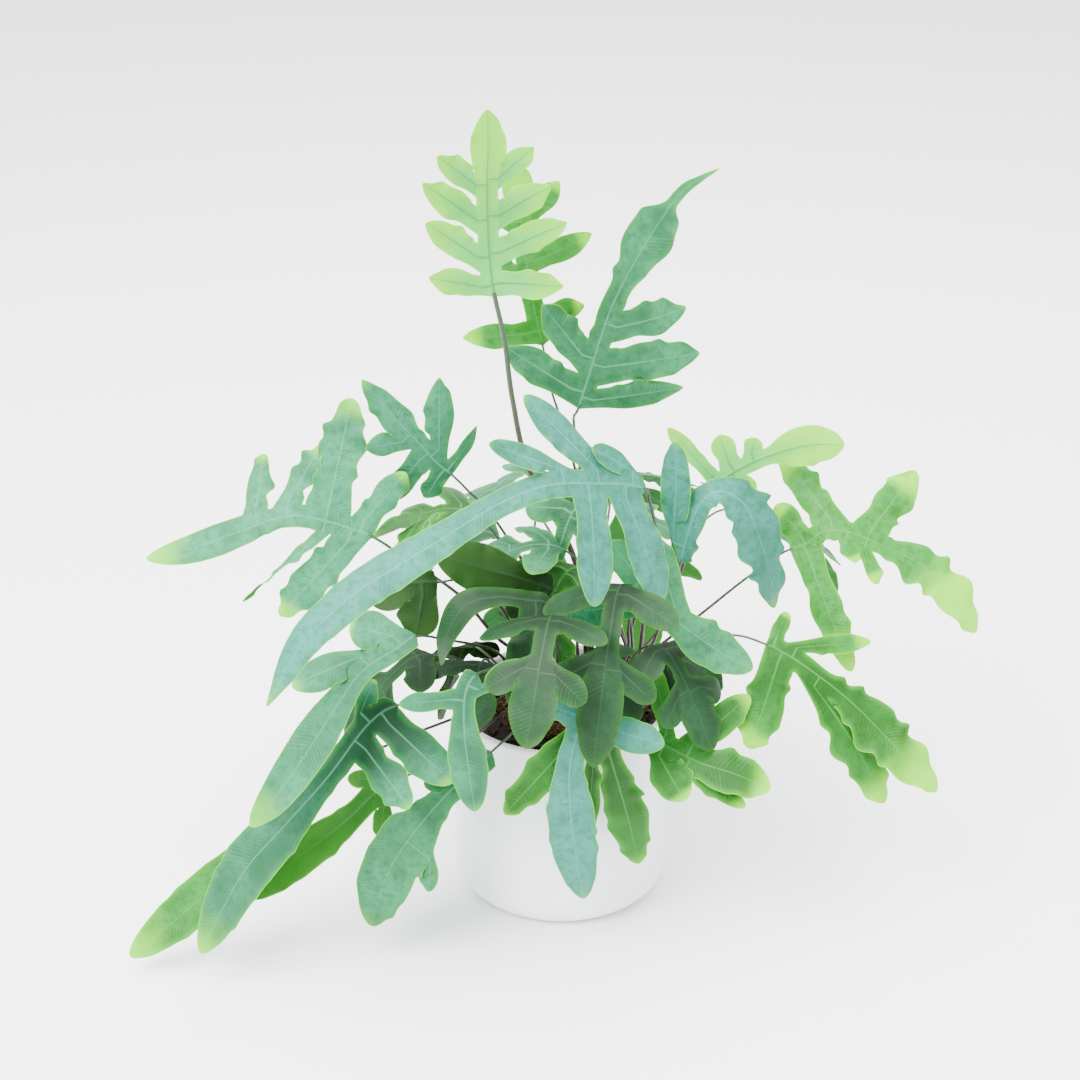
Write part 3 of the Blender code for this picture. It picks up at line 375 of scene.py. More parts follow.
def place(points):
    """Fit layout points, in millimetres, to the frame, in metres."""
    points = np.asarray(points, float).reshape(-1, 3)
    out = np.hypot(points[:, 0], points[:, 1])
    beyond = (PLANT_REACH - POT_RADIUS) / (LAYOUT_REACH - LAYOUT_POT_RADIUS)
    inside = out * POT_RADIUS / LAYOUT_POT_RADIUS
    outside = POT_RADIUS + (out - LAYOUT_POT_RADIUS) * beyond
    reach = np.where(out < LAYOUT_POT_RADIUS, inside, outside) / np.maximum(out, 1e-9)
    levels = [0, LAYOUT_SOIL, LAYOUT_CROWN, LAYOUT_HEIGHT]
    heights = [0, SOIL_TOP, CROWN, PLANT_HEIGHT]
    z = np.interp(points[:, 2], levels, heights)
    return np.column_stack([points[:, 0] * reach, points[:, 1] * reach, z])


def at_shares(shares, knots, vectors):
    """Vectors given at knots, read at shares between them."""
    return np.column_stack([np.interp(shares, knots, vectors[:, k]) for k in range(3)])


class Route:
    """A Catmull-Rom curve through the given points, measured along its length."""

    def __init__(self, points, per_span=24):
        knots = np.asarray(points, float)
        knots = np.vstack([2 * knots[0] - knots[1], knots, 2 * knots[-1] - knots[-2]])
        spans = []
        for a, b, c, d in zip(knots, knots[1:], knots[2:], knots[3:]):
            u = np.linspace(0, 1, per_span, endpoint=False)[:, None]
            straight = 2 * b + (c - a) * u
            bend = (2 * a - 5 * b + 4 * c - d) * u ** 2 + (3 * b - a - 3 * c + d) * u ** 3
            spans.append(0.5 * (straight + bend))
        self.line = np.vstack(spans + [knots[-2:-1]])
        steps = np.linalg.norm(np.diff(self.line, axis=0), axis=1)
        self.along = np.concatenate([[0], np.cumsum(steps)])
        self.marks = self.along[::per_span]
        self.length = self.along[-1]

    def at(self, where):
        """Points at the given distances along the route."""
        where = np.atleast_1d(where)
        return at_shares(where, self.along, self.line)

    def direction(self, where, reach=4.0):
        """Unit tangents at the given distances along the route."""
        where = np.atleast_1d(where)
        ahead = self.at(np.minimum(where + reach, self.length))
        return unit(ahead - self.at(np.maximum(where - reach, 0)))


def leaf_outline(x, base, broad, pointed):
    """Half width of a lobe from its base (0) to its tip (1), as a share of its widest."""
    swell = base + (1 - base) * smoothstep(x / broad)
    taper = np.clip((x - broad) / (1 - broad), 0, 1)
    if pointed:
        return swell * (1 - taper ** 1.9) ** 0.8
    return swell * (1 - taper ** 2.4) ** 0.62


def tail_of(frond, x):
    """Share of its width that an end lobe keeps, where it runs out into a thin tail."""
    if frond["tail"] is None:
        return 1.0
    narrow, kept = frond["tail"]
    return 1 - (1 - kept) * smoothstep((x - narrow) / 0.16)


def turn(vectors, axes, angle):
    """Turn vectors about unit axes by an angle in radians."""
    cosine = np.cos(angle)[..., None]
    sine = np.sin(angle)[..., None]
    along = axes * np.sum(axes * vectors, axis=-1, keepdims=True) * (1 - cosine)
    return vectors * cosine + np.cross(axes, vectors) * sine + along


def creep_of(rhizome):
    """The line along which a rhizome creeps."""
    return Route([(x, y, 0) for x, y in RHIZOMES[rhizome]])


def root_of(rhizome, share):
    """Where a frond grows on a rhizome, at a share of its length."""
    creep = creep_of(rhizome)
    return creep.at(share * creep.length)[0][:2]


def frond_route(frond):
    """The line of a frond, from its foot on the rhizome to the tip of its blade."""
    x, y = root_of(frond["rhizome"], frond["share"])
    foot = [(x, y, LAYOUT_CROWN), (x, y, LAYOUT_CROWN + FOOT_RISE)]
    route = Route(foot + frond["stalk"] + frond["blade"])
    return route, route.marks[len(foot) + len(frond["stalk"])]


def short_frond(number, kind, rhizome, share, heading, rise, reach, drop, bend):
    """A short frond that rises from the crown, arches over along its heading and droops."""
    x, y = root_of(rhizome, share)
    way = np.array([math.cos(math.radians(heading)), math.sin(math.radians(heading))])
    aside = np.array([-way[1], way[0]])
    line = []
    for along in (0.12, 0.3, 0.44, 0.58, 0.72, 0.86, 1.0):
        up = 1 - (1 - along / ARCH_TOP) ** 2 if along < ARCH_TOP else 1
        down = max((along - ARCH_TOP) / (1 - ARCH_TOP), 0) ** 1.6
        spot = np.array([x, y]) + way * reach * along + aside * bend * along * along
        height = LAYOUT_CROWN + FOOT_RISE + rise * up - drop * down
        line.append((spot[0], spot[1], height))
    blade = 0.56 * math.hypot(reach, drop)
    lobe = 0.36 * blade + 12
    lobes = [(0.13, 1, lobe, 22, 25, 20), (0.15, -1, 0.9 * lobe, 22, 25, 20)]
    if blade > 60:
        lobes += [(0.5, 1, 0.7 * lobe, 19, 35, 20), (0.52, -1, 0.65 * lobe, 19, 35, 20)]
    faces = [(-0.5 * way[0], -0.5 * way[1], 1), (0.6 * way[0], 0.6 * way[1], 0.7)]
    return dict(name=f"short_{number:02}", rhizome=rhizome, share=share, terminal=0.4, wing=7,
                width=30, kind=kind, painted_shade=SHORT_PAINTED_SHADE, faces=faces, stalk=line[:2],
                blade=line[2:], lobes=lobes)


def all_fronds():
    """The fronds of the layout, at even steps along their rhizomes, and the short ones."""
    fronds = []
    for rhizome, grown in FRONDS.items():
        for k, frond in enumerate(grown):
            root = dict(rhizome=rhizome, share=round((k + 0.5) / len(grown), 2))
            fronds.append(PLAIN | root | frond)
    short = [short_frond(number, *row) for number, row in enumerate(SHORT_FRONDS, 1)]
    return fronds + [PLAIN | frond for frond in short]


def lobe_span(lobe, length):
    """Where a side lobe joins the blade: its first, middle and last distance."""
    at, _, _, width = lobe[:4]
    half = max(JOIN_SHARE * width, LEAST_JOIN) / 2
    first = max(at * length - half, 0)
    last = at * length + half
    return first, (first + last) / 2, last


def blade_rows(lobes, length):
    """Distances along a blade for its cross rows, with rows at each lobe's edges and vein."""
    end = 0.985 * length
    marks = {0.0, end}
    for lobe in lobes:
        first, middle, last = lobe_span(lobe, length)
        marks.update((first, middle, last))
        marks.update((first + 1.5, middle - RIB_HALF, middle + RIB_HALF, last - 1.5))
    rows = [0.0]
    for mark in sorted(mark for mark in marks if 0 < mark <= end):
        start = rows[-1]
        if mark - start < 0.2:
            continue
        count = math.ceil((mark - start) / ROW_SPACING)
        rows += [start + (mark - start) * k / count for k in range(1, count + 1)]
    return np.array(rows + [share * length for share in TIP_SHARES])


class Sheet:
    """A leaf surface: points with (rib relief, distance to the edge), and faces whose corners
    know their (run along the vein, distance from it, distance to the edge) and
    (share of the lobe, width of its midvein, 0)."""

    def __init__(self):
        self.points = []
        self.relief = []
        self.faces = []
        self.places = []
        self.shares = []

    def add(self, points, relief):
        """Add a grid of points and return their numbers."""
        first = len(self.points)
        self.points.extend(points.reshape(-1, 3))
        self.relief.extend(relief.reshape(-1, 2))
        return first + np.arange(len(self.points) - first).reshape(points.shape[:-1])

    def face(self, numbers, places, shares, flipped):
        """Add one face with the facts of its corners."""
        step = -1 if flipped else 1
        self.faces.append(list(numbers)[::step])
        self.places.append(list(places)[::step])
        self.shares.append(list(shares)[::step])

    def fill(self, grid, places, shares, flipped=False):
        """Fill a grid of point numbers with faces."""
        for row in range(grid.shape[0] - 1):
            for column in range(grid.shape[1] - 1):
                ring = [(row, column), (row, column + 1), (row + 1, column + 1), (row + 1, column)]
                self.face([grid[k] for k in ring], [places[k] for k in ring],
                          [shares[k] for k in ring], flipped)

    def close(self, rim, places, shares, tip, flipped=False):
        """Close a row of points to one tip point."""
        tip_place = (places[len(rim) // 2][0], 0, 0)
        tip_share = (1, 0, 0)
        for k in range(len(rim) - 1):
            self.face([rim[k], rim[k + 1], tip], [places[k], places[k + 1], tip_place],
                      [shares[k], shares[k + 1], tip_share], flipped)


def ruffle(run, phase, chance):
    """Waves of a wavy margin at distances along it, uneven in length and height."""
    turns = 2 * math.pi * run / (RUFFLE_PERIOD * (0.8 + 0.4 * chance)) + phase
    turns = turns + 1.1 * np.sin(2 * math.pi * run / RUFFLE_DRIFT + 9 * chance + phase)
    slow = 0.6 + 0.4 * np.sin(2 * math.pi * run / RUFFLE_FADE + 5 * chance + 1.7 * phase)
    return slow * (np.sin(turns) + 0.14 * np.sin(2 * turns + 0.9))


def side_lobe(lobe, middle, lobe_frame):
    """Midvein of a side lobe with the directions across it and out of its upper side."""
    _, side, length, _, angle = lobe[:5]
    droop, sweep, twist = (list(lobe[5:]) + [0, 0, 0])[:3]
    along, normal, across = lobe_frame
    lean = math.radians(angle)
    out = math.cos(lean) * across * side + math.sin(lean) * along
    forward = np.cross(normal, out)
    forward = forward * (1 if forward @ along > 0 else -1)
    share = np.linspace(0, 1, LOBE_SAMPLES)
    bend = (np.radians(sweep) * share)[:, None]
    fall = (np.radians(droop) * share)[:, None]
    level = np.cos(bend) * out + np.sin(bend) * forward
    heading = np.cos(fall) * level - np.sin(fall) * normal
    steps = (heading[1:] + heading[:-1]) / 2 * length / (len(share) - 1)
    vein = middle + np.vstack([np.zeros(3), np.cumsum(steps, axis=0)])
    upper = np.cos(fall) * normal + np.sin(fall) * level
    width_way = unit(np.cross(upper, heading))
    width_way = width_way * (1 if width_way[0] @ along > 0 else -1)
    turned = np.radians(twist) * share
    return share, vein, turn(width_way, heading, turned), turn(upper, heading, turned)


def look_along(frond, shares):
    """Where a blade's upper side looks, at shares of its length."""
    return at_shares(shares, np.linspace(0, 1, len(frond["faces"])), unit(frond["faces"]))


def add_side_lobe(sheet, lobe, length, rows, border, frame_at, chance, frond):
    """Grow one side lobe from the border of its blade."""
    first, middle, last = lobe_span(lobe, length)
    joined = [k for k, row in enumerate(rows) if first - 0.01 <= row <= last + 0.01]
    centre = int(np.argmin(abs(rows - middle)))
    numbers = border[joined]
    held_points = np.array([sheet.points[k] for k in numbers])
    hold = np.array(sheet.points[border[centre]])
    reach, width, side = lobe[2], lobe[3], lobe[1]
    samples, vein, across, upper = side_lobe(lobe, hold, frame_at(centre))
    position = (rows[joined] - middle) / ((last - first) / 2)
    count = max(4, math.ceil(LOBE_BODY * reach / ROW_SPACING))
    shares = np.concatenate([np.linspace(0, LOBE_BODY, count + 1)[1:], LOBE_TIP_SHARES])
    line = at_shares(shares, samples, vein)
    way = unit(at_shares(shares, samples, across))
    lift = unit(at_shares(shares, samples, upper))
    free = smoothstep(shares / 0.3)
    outline = leaf_outline(shares, 0.7, 0.5, frond["pointed"]) * width / 2
    size = np.clip(width / 22, 0.4, 1.2)
    fade = smoothstep((1 - shares) / 0.12) * free * size * frond["waves"]
    run = shares * reach
    waves = [ruffle(run, 7 * chance + 2.2 * edge, chance) for edge in (0, 1)]
    half = np.where(position[None, :] < 0, *(
        (outline - RUFFLE_DEPTH * (EVEN_CUT + WAVE_CUT * wave) * fade)[:, None]
        for wave in waves))
    half = np.maximum(half, 0.3)
    reach_out = abs(position)[None, :] ** LIFT_POWER
    raised = np.where(position[None, :] < 0, waves[0][:, None], -waves[1][:, None])
    arch = (chance - 0.35) * 0.22
    offset = (RUFFLE_LIFT * fade[:, None] * raised - arch * half * free[:, None]) * reach_out
    held = (1 - free)[:, None, None] * (held_points - hold)[None, :, :]
    spread = (free[:, None] * half * position[None, :])[:, :, None] * way[:, None, :]
    points = line[:, None, :] + held + spread + offset[:, :, None] * lift[:, None, :]
    base_half = (last - first) / 2
    measured = free[:, None] * half + (1 - free)[:, None] * base_half
    rib = measured * abs(position)[None, :]
    edge = np.minimum(measured - rib, (TIP_MARGIN - shares)[:, None] * reach)
    rib_radius = (0.55 - 0.4 * shares)[:, None] * size
    relief = rib_radius * np.exp(-(rib / RELIEF_HALF) ** 2)
    grid = sheet.add(points, np.stack([relief, edge], -1))
    grid = np.vstack([numbers, grid])
    start_edge = (1 - abs(position)) * base_half
    first_row = np.column_stack([0 * position, abs(position) * base_half, start_edge])
    places = np.stack([np.broadcast_to(run[:, None], rib.shape), rib, edge], -1)
    places = np.vstack([first_row[None], places])
    all_shares = np.concatenate([[0], shares])
    facts = np.zeros(places.shape)
    facts[:, :, 0] = all_shares[:, None]
    facts[:, :, 1] = size
    flipped = side > 0
    sheet.fill(grid, places, facts, flipped)
    tip = sheet.add(vein[-1:], np.zeros((1, 2)))[0]
    sheet.close(grid[-1], places[-1], facts[-1], tip, flipped)


def cover_of(lobes, length, rows, side):
    """How much of a border's rows the lobes on that side take up, and the way to their veins."""
    cover = np.zeros(len(rows))
    inside = np.zeros(len(rows))
    vein = np.full(len(rows), 99.0)
    for lobe in lobes:
        if lobe[1] * side < 0:
            continue
        first, middle, last = lobe_span(lobe, length)
        half = (last - first) / 2
        away = abs(rows - middle)
        cover = np.maximum(cover, smoothstep((half + 4 - away) / 4))
        inside = np.maximum(inside, half - away)
        vein = np.where(away < half, np.minimum(vein, away), vein)
    return cover, np.maximum(inside, 0), vein


def blade_sheet(frond, seed):
    """The whole blade of a frond as a ruffled sheet, in layout millimetres."""
    chances = np.random.default_rng(seed)
    route, start = frond_route(frond)
    length = route.length - start
    rows = blade_rows(frond["lobes"], length)
    along = route.direction(start + rows)
    look = look_along(frond, rows / length)
    normal = unit(look - np.sum(look * along, axis=1, keepdims=True) * along)
    across = np.cross(along, normal)
    widest = frond["width"] / 2
    tip_share = (rows / length - frond["terminal"]) / (1 - frond["terminal"])
    neck = frond["wing"] * smoothstep(rows / length / 0.04 + 0.25)
    terminal = widest * leaf_outline(np.clip(tip_share, 0, 1), frond["wing"] / widest, 0.45,
                                     frond["pointed"])
    half = np.where(tip_share < 0, neck, terminal * tail_of(frond, tip_share))
    spine = route.at(start + rows)
    chance = chances.random()
    size = np.clip(half / 13, 0.0, 1.2) * frond["waves"]
    fade = smoothstep((1 - rows / length) / 0.06) * size
    radius = 1.05 - 0.85 * rows / length
    columns = [(spine, np.column_stack([rows, 0 * rows, half]), np.column_stack([radius, half]))]
    for side in (-1, 1):
        cover, inside, vein = cover_of(frond["lobes"], length, rows, side)
        wave = ruffle(rows, 7 * chance + 2.6 * side, chance) * fade * (1 - cover)
        cut = RUFFLE_DEPTH * (EVEN_CUT * fade * (1 - cover) + WAVE_CUT * wave)
        reach = np.maximum(half - cut, 0.2)
        rib_half = np.minimum(RIB_HALF, 0.3 * reach)
        offsets = [rib_half] + [rib_half + (reach - rib_half) * share for share in COLUMN_SHARES]
        arch = (0.12 - 0.25 * chance) * (1 - cover) * half
        branch = 0.5 * np.exp(-(vein / RELIEF_HALF) ** 2)
        strip = []
        for offset in offsets:
            outward = (offset / reach) ** LIFT_POWER
            lift = (RUFFLE_LIFT * side * wave - arch * smoothstep(rows / 20)) * outward
            spots = spine + side * across * offset[:, None] + normal * lift[:, None]
            edge = np.minimum(reach - offset + inside, TIP_MARGIN * length - rows)
            relief = np.maximum(radius * np.exp(-(offset / RIB_HALF) ** 2), branch)
            strip.append((spots, np.column_stack([rows, np.minimum(offset, vein), edge]),
                          np.column_stack([relief, edge])))
        columns = strip[::-1] + columns if side < 0 else columns + strip
    points, facts, relief = (np.stack(parts, axis=1) for parts in zip(*columns))
    sheet = Sheet()
    grid = sheet.add(points, relief)
    shares = np.zeros(facts.shape)
    shares[:, :, 0] = (rows / length)[:, None]
    shares[:, :, 1] = BLADE_RIB
    sheet.fill(grid, facts, shares)
    tip = sheet.add(route.at(route.length), np.zeros((1, 2)))[0]
    sheet.close(grid[-1], facts[-1], shares[-1], tip)
    for lobe in frond["lobes"]:
        border = grid[:, -1 if lobe[1] > 0 else 0]
        add_side_lobe(sheet, lobe, length, rows, border,
                      lambda k: (along[k], normal[k], across[k]), chances.random(), frond)
    return sheet


def vertex_normals(points, faces):
    """Area-weighted normals of a surface at its points."""
    total = np.zeros(points.shape)
    for face in faces:
        corners = points[face]
        if len(face) == 4:
            total[face] += np.cross(corners[2] - corners[0], corners[-1] - corners[1])
        else:
            total[face] += np.cross(corners[1] - corners[0], corners[2] - corners[0])
    return unit(total)


def new_mesh(name, points, faces):
    """A mesh from points and faces."""
    mesh = bpy.data.meshes.new(name)
    mesh.from_pydata([Vector(point) for point in points], [], faces)
    return mesh


def smooth_up_to(mesh, degrees):
    """Shade a mesh smooth, apart from edges sharper than an angle."""
    mesh.shade_smooth()
    mesh.set_sharp_from_angle(angle=math.radians(degrees))


def shell_mesh(name, sheet):
    """A closed mesh from a sheet: upper side, underside with raised ribs, and a thin margin."""
    points = place(sheet.points)
    relief = np.array(sheet.relief)
    normals = vertex_normals(points, sheet.faces)
    body = EDGE_THICKNESS + (LEAF_THICKNESS - EDGE_THICKNESS) * smoothstep(relief[:, 1] / 2)
    rise = (body / 2 + 0.2 * relief[:, 0]) * MM
    fall = (body / 2 + 0.75 * relief[:, 0]) * MM
    count = len(points)
    verts = np.vstack([points + normals * rise[:, None], points - normals * fall[:, None]])
    faces = [list(face) for face in sheet.faces]
    places = [list(corner) for corner in sheet.places]
    shares = [list(corner) for corner in sheet.shares]
    edges = {}
    for face, place_of, share_of in zip(sheet.faces, sheet.places, sheet.shares):
        for k in range(len(face)):
            n = (k + 1) % len(face)
            edges[(face[k], face[n])] = (place_of[k], place_of[n], share_of[k], share_of[n])
    faces += [[k + count for k in face[::-1]] for face in sheet.faces]
    places += [corner[::-1] for corner in sheet.places]
    shares += [corner[::-1] for corner in sheet.shares]
    sides = [0] * len(sheet.faces) + [1] * len(sheet.faces)
    for (a, b), (place_a, place_b, share_a, share_b) in edges.items():
        if (b, a) in edges:
            continue
        faces.append([b, a, a + count, b + count])
        places.append([place_b, place_a, place_a, place_b])
        shares.append([share_b, share_a, share_a, share_b])
        sides.append(0)
    mesh = new_mesh(name, verts, faces)
    mesh.polygons.foreach_set("material_index", sides)
    write_corners(mesh, "leaf_place", places)
    write_corners(mesh, "leaf_share", shares)
    smooth_up_to(mesh, 50)
    mesh.validate()
    return mesh


def write_corners(mesh, name, values):
    """Store a vector for each face corner."""
    layer = mesh.attributes.new(name, "FLOAT_VECTOR", "CORNER")
    flat = np.array([value for face in values for value in face], np.float32)
    layer.data.foreach_set("vector", flat.ravel())


def write_points(mesh, name, values):
    """Store a number for each point."""
    layer = mesh.attributes.new(name, "FLOAT", "POINT")
    layer.data.foreach_set("value", np.asarray(values, np.float32))


def add_piece(name, mesh, materials, node):
    """Show a mesh in place of one CAD node."""
    for material in materials:
        mesh.materials.append(material)
    piece = bpy.data.objects.new(name, mesh)
    bpy.context.scene.collection.objects.link(piece)
    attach(piece, "root")
    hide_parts(node)


class Paint:
    """Short ways to build a procedural material."""

    def __init__(self, name):
        self.material = bpy.data.materials.new(name)
        self.material.use_nodes = True
        self.tree = self.material.node_tree
        self.shader = self.tree.nodes["Principled BSDF"]

    def put(self, socket, value):
        """Link a socket or set its value."""
        if isinstance(value, bpy.types.NodeSocket):
            self.tree.links.new(value, socket)
        elif isinstance(value, tuple) and len(value) == 3 and socket.type == "RGBA":
            socket.default_value = (*value, 1)
        else:
            socket.default_value = value

    def attribute(self, name):
        """The parts of a vector attribute."""
        source = self.tree.nodes.new("ShaderNodeAttribute")
        source.attribute_name = name
        parts = self.tree.nodes.new("ShaderNodeSeparateXYZ")
        self.put(parts.inputs[0], source.outputs["Vector"])
        return parts.outputs[0], parts.outputs[1], parts.outputs[2]

    def number(self, name):
        """A number attribute."""
        source = self.tree.nodes.new("ShaderNodeAttribute")
        source.attribute_name = name
        return source.outputs["Fac"]

    def noise(self, scale, detail=3.0):
        """Noise over the object, from 0 to 1."""
        node = self.tree.nodes.new("ShaderNodeTexNoise")
        place_on = self.tree.nodes.new("ShaderNodeTexCoord")
        self.put(node.inputs["Vector"], place_on.outputs["Object"])
        node.inputs["Scale"].default_value = scale
        node.inputs["Detail"].default_value = detail
        return node.outputs["Fac"]

    def math(self, operation, a, b=0.0):
        """One math step."""
        node = self.tree.nodes.new("ShaderNodeMath")
        node.operation = operation
        self.put(node.inputs[0], a)
        self.put(node.inputs[1], b)
        return node.outputs[0]

    def times(self, a, b):
        """The product of two numbers."""
        return self.math("MULTIPLY", a, b)

    def plus(self, a, b):
        """The sum of two numbers."""
        return self.math("ADD", a, b)

    def ease(self, value, start, end, low=0.0, high=1.0):
        """Value eased from low at start to high at end."""
        node = self.tree.nodes.new("ShaderNodeMapRange")
        node.interpolation_type = "SMOOTHSTEP"
        for socket, number in zip(node.inputs, (value, start, end, low, high)):
            self.put(socket, number)
        return node.outputs[0]

    def mix(self, factor, a, b):
        """A colour between a and b."""
        node = self.tree.nodes.new("ShaderNodeMix")
        node.data_type = "RGBA"
        self.put(node.inputs["Factor"], factor)
        self.put(node.inputs[6], a)
        self.put(node.inputs[7], b)
        return node.outputs[2]

    def bump(self, height, distance, strength=1.0):
        """Fine relief on the Principled shader."""
        node = self.tree.nodes.new("ShaderNodeBump")
        node.inputs["Strength"].default_value = strength
        node.inputs["Distance"].default_value = distance
        self.put(node.inputs["Height"], height)
        self.put(self.shader.inputs["Normal"], node.outputs[0])

    def finish(self, colour, roughness, **settings):
        """Set the Principled shader's colour, roughness and uniform values."""
        self.put(self.shader.inputs["Base Color"], colour)
        self.put(self.shader.inputs["Roughness"], roughness)
        for name, value in settings.items():
            self.put(self.shader.inputs[name.replace("_", " ")], value)
        return self.material

    def let_light_through(self, colour, share):
        """Mix in light that comes through from the other side."""
        through = self.tree.nodes.new("ShaderNodeBsdfTranslucent")
        self.put(through.inputs["Color"], colour)
        blend = self.tree.nodes.new("ShaderNodeMixShader")
        blend.inputs[0].default_value = share
        self.put(blend.inputs[1], self.shader.outputs[0])
        self.put(blend.inputs[2], through.outputs[0])
        self.put(self.tree.nodes["Material Output"].inputs["Surface"], blend.outputs[0])


def side_veins(paint, run, rib):
    """Fine veins that leave a midvein at a slant, from 0 to 1."""
    wander = paint.times(paint.noise(60.0, 2.0), 5.0)
    slant = paint.times(rib, 0.55)
    line = paint.plus(paint.math("SUBTRACT", run, slant), wander)
    turns = paint.math("SINE", paint.times(line, 2 * math.pi / 2.7))
    return paint.times(paint.ease(turns, 0.0, 1.0), paint.ease(paint.noise(60.0), 0.35, 0.7))


def rib_line(paint, rib, share, size):
    """Distance from a midvein, as a share of its width there."""
    rib_width = paint.times(paint.math("SUBTRACT", 1.25, share), size)
    return paint.math("DIVIDE", rib, paint.math("MAXIMUM", rib_width, 0.15))


def leaf_upper(kind):
    """Waxy upper side: wax bloom with painted light, painted shade at the base, pale midveins, fine
    side veins, green margin, ripening tip.
    """
    paint = Paint("leaf_" + kind + "_upper")
    colours = dict(zip(COLOUR_PARTS, COLOURS[kind]))
    run, rib, edge = paint.attribute("leaf_place")
    share, size, _ = paint.attribute("leaf_share")
    cloud = paint.noise(26.0, 4.0)
    fine = paint.noise(260.0, 3.0)
    blush = paint.ease(paint.noise(13.0, 2.0), 0.3, 0.7, -0.15, 0.2)
    # Wax bloom in clouds, with per frond painted light: fronds that face the light get more of the pale
    # colour
    bloom_and_painted_light = paint.plus(paint.ease(cloud, 0.3, 0.7, 0.0, 0.5), paint.number("bloom_and_painted_light"))
    bloom_and_painted_light = paint.plus(bloom_and_painted_light, blush)
    colour = paint.mix(paint.ease(bloom_and_painted_light, 0.0, 1.0), colours["upper"], colours["bloom_and_painted_light"])
    veins = side_veins(paint, run, rib)
    colour = paint.mix(paint.times(veins, 0.26), colour, colours["vein"])
    colour = paint.mix(paint.ease(fine, 0.42, 0.72, 0.0, 0.55), colour, colours["upper"])
    patch = paint.ease(paint.noise(75.0, 3.0), 0.48, 0.75, 0.0, 0.5)
    colour = paint.mix(patch, colour, colours["upper"])
    # Painted shade: each frond's blade darkens towards its base, by its share of painted shade
    painted_shade = paint.times(paint.ease(share, 0.8, 0.05), paint.number("painted_shade"))
    colour = paint.mix(painted_shade, colour, tuple(0.4 * part for part in colours["upper"]))
    colour = paint.mix(paint.ease(edge, 5.0, 0.5, 0.0, 0.55), colour, colours["margin"])
    line = rib_line(paint, rib, share, size)
    colour = paint.mix(paint.ease(line, 0.7, 0.2, 0.0, 0.55), colour, colours["vein"])
    ripe = paint.plus(share, paint.times(paint.noise(35.0), 0.2))
    ripe = paint.plus(ripe, paint.times(paint.number("ripe"), 0.2))
    colour = paint.mix(paint.ease(ripe, 1.0, 1.24, 0.0, 0.9), colour, colours["tip"])
    colour = paint.mix(paint.ease(edge, 0.6, 0.15, 0.0, 0.6), colour, colours["tip"])
    height = paint.plus(veins, paint.times(fine, 0.6))
    paint.bump(height, 0.0002, 0.7)
    rough = paint.ease(cloud, 0.2, 0.8, 0.42, 0.6)
    paint.let_light_through(colours["through"], 0.26)
    return paint.finish(colour, rough, Specular_IOR_Level=0.22)


def leaf_under(kind):
    """Duller underside with darker midveins and a net of fine veins."""
    paint = Paint("leaf_" + kind + "_under")
    colours = dict(zip(COLOUR_PARTS, COLOURS[kind]))
    run, rib, edge = paint.attribute("leaf_place")
    share, size, _ = paint.attribute("leaf_share")
    cloud = paint.noise(30.0, 4.0)
    dark = tuple(0.65 * part for part in colours["under"])
    colour = paint.mix(paint.ease(cloud, 0.3, 0.75), colours["under"], dark)
    outward = paint.plus(share, paint.times(rib, 0.04))
    colour = paint.mix(paint.ease(outward, 0.3, 1.1, 0.0, 0.85), colour, colours["outer"])
    veins = side_veins(paint, run, rib)
    colour = paint.mix(paint.times(veins, 0.3), colour, dark)
    line = rib_line(paint, rib, share, size)
    vein = colours["vein"] if kind == "young" else tuple(0.6 * part for part in colours["vein"])
    colour = paint.mix(paint.ease(line, 0.9, 0.3, 0.0, 0.7), colour, vein)
    colour = paint.mix(paint.ease(edge, 1.2, 0.2, 0.0, 0.5), colour, colours["tip"])
    paint.bump(veins, 0.0002, 0.5)
    paint.let_light_through(colours["through"], 0.36)
    return paint.finish(colour, paint.ease(cloud, 0.2, 0.8, 0.5, 0.65),
                        Specular_IOR_Level=0.2)


def stalk_material():
    """Wiry stalk, dark brown at the foot and olive towards the blade."""
    paint = Paint("stalk")
    rise = paint.number("rise")
    grain = paint.noise(400.0, 2.0)
    colour = paint.mix(paint.ease(rise, 0.35, 1.0), (0.022, 0.012, 0.007), (0.018, 0.048, 0.012))
    colour = paint.mix(paint.ease(grain, 0.45, 0.75, 0.0, 0.5), colour, (0.045, 0.030, 0.012))
    paint.bump(grain, 0.0002, 0.4)
    return paint.finish(colour, paint.ease(grain, 0.3, 0.7, 0.35, 0.5))


def pot_material():
    """Smooth white glaze with the faintest ripple."""
    paint = Paint("pot_glaze")
    cloud = paint.noise(9.0, 3.0)
    ripple = paint.noise(45.0, 2.0)
    colour = paint.mix(paint.ease(cloud, 0.3, 0.7), (0.80, 0.805, 0.83), (0.84, 0.845, 0.86))
    paint.bump(ripple, 0.0006, 0.25)
    return paint.finish(colour, paint.ease(ripple, 0.2, 0.8, 0.36, 0.44),
                        Coat_Weight=0.15, Coat_Roughness=0.25)


def grainy_material(name, dark, light, scale, roughness):
    """Rough material between two colours, with a chance value for each bit."""
    paint = Paint(name)
    grain = paint.noise(scale, 4.0)
    tone = paint.plus(paint.number("tone"), paint.ease(grain, 0.3, 0.7, -0.25, 0.25))
    colour = paint.mix(paint.ease(tone, 0.0, 1.0), dark, light)
    paint.bump(grain, 0.0005, 0.7)
    return paint.finish(colour, paint.ease(grain, 0.2, 0.8, roughness - 0.1, roughness))


def arc(centre, radius, start, end, count):
    """Points along an arc in the (radius, height) plane, with angles in degrees."""
    angles = np.radians(np.linspace(start, end, count))
    return [(centre[0] + radius * math.cos(a), centre[1] + radius * math.sin(a)) for a in angles]


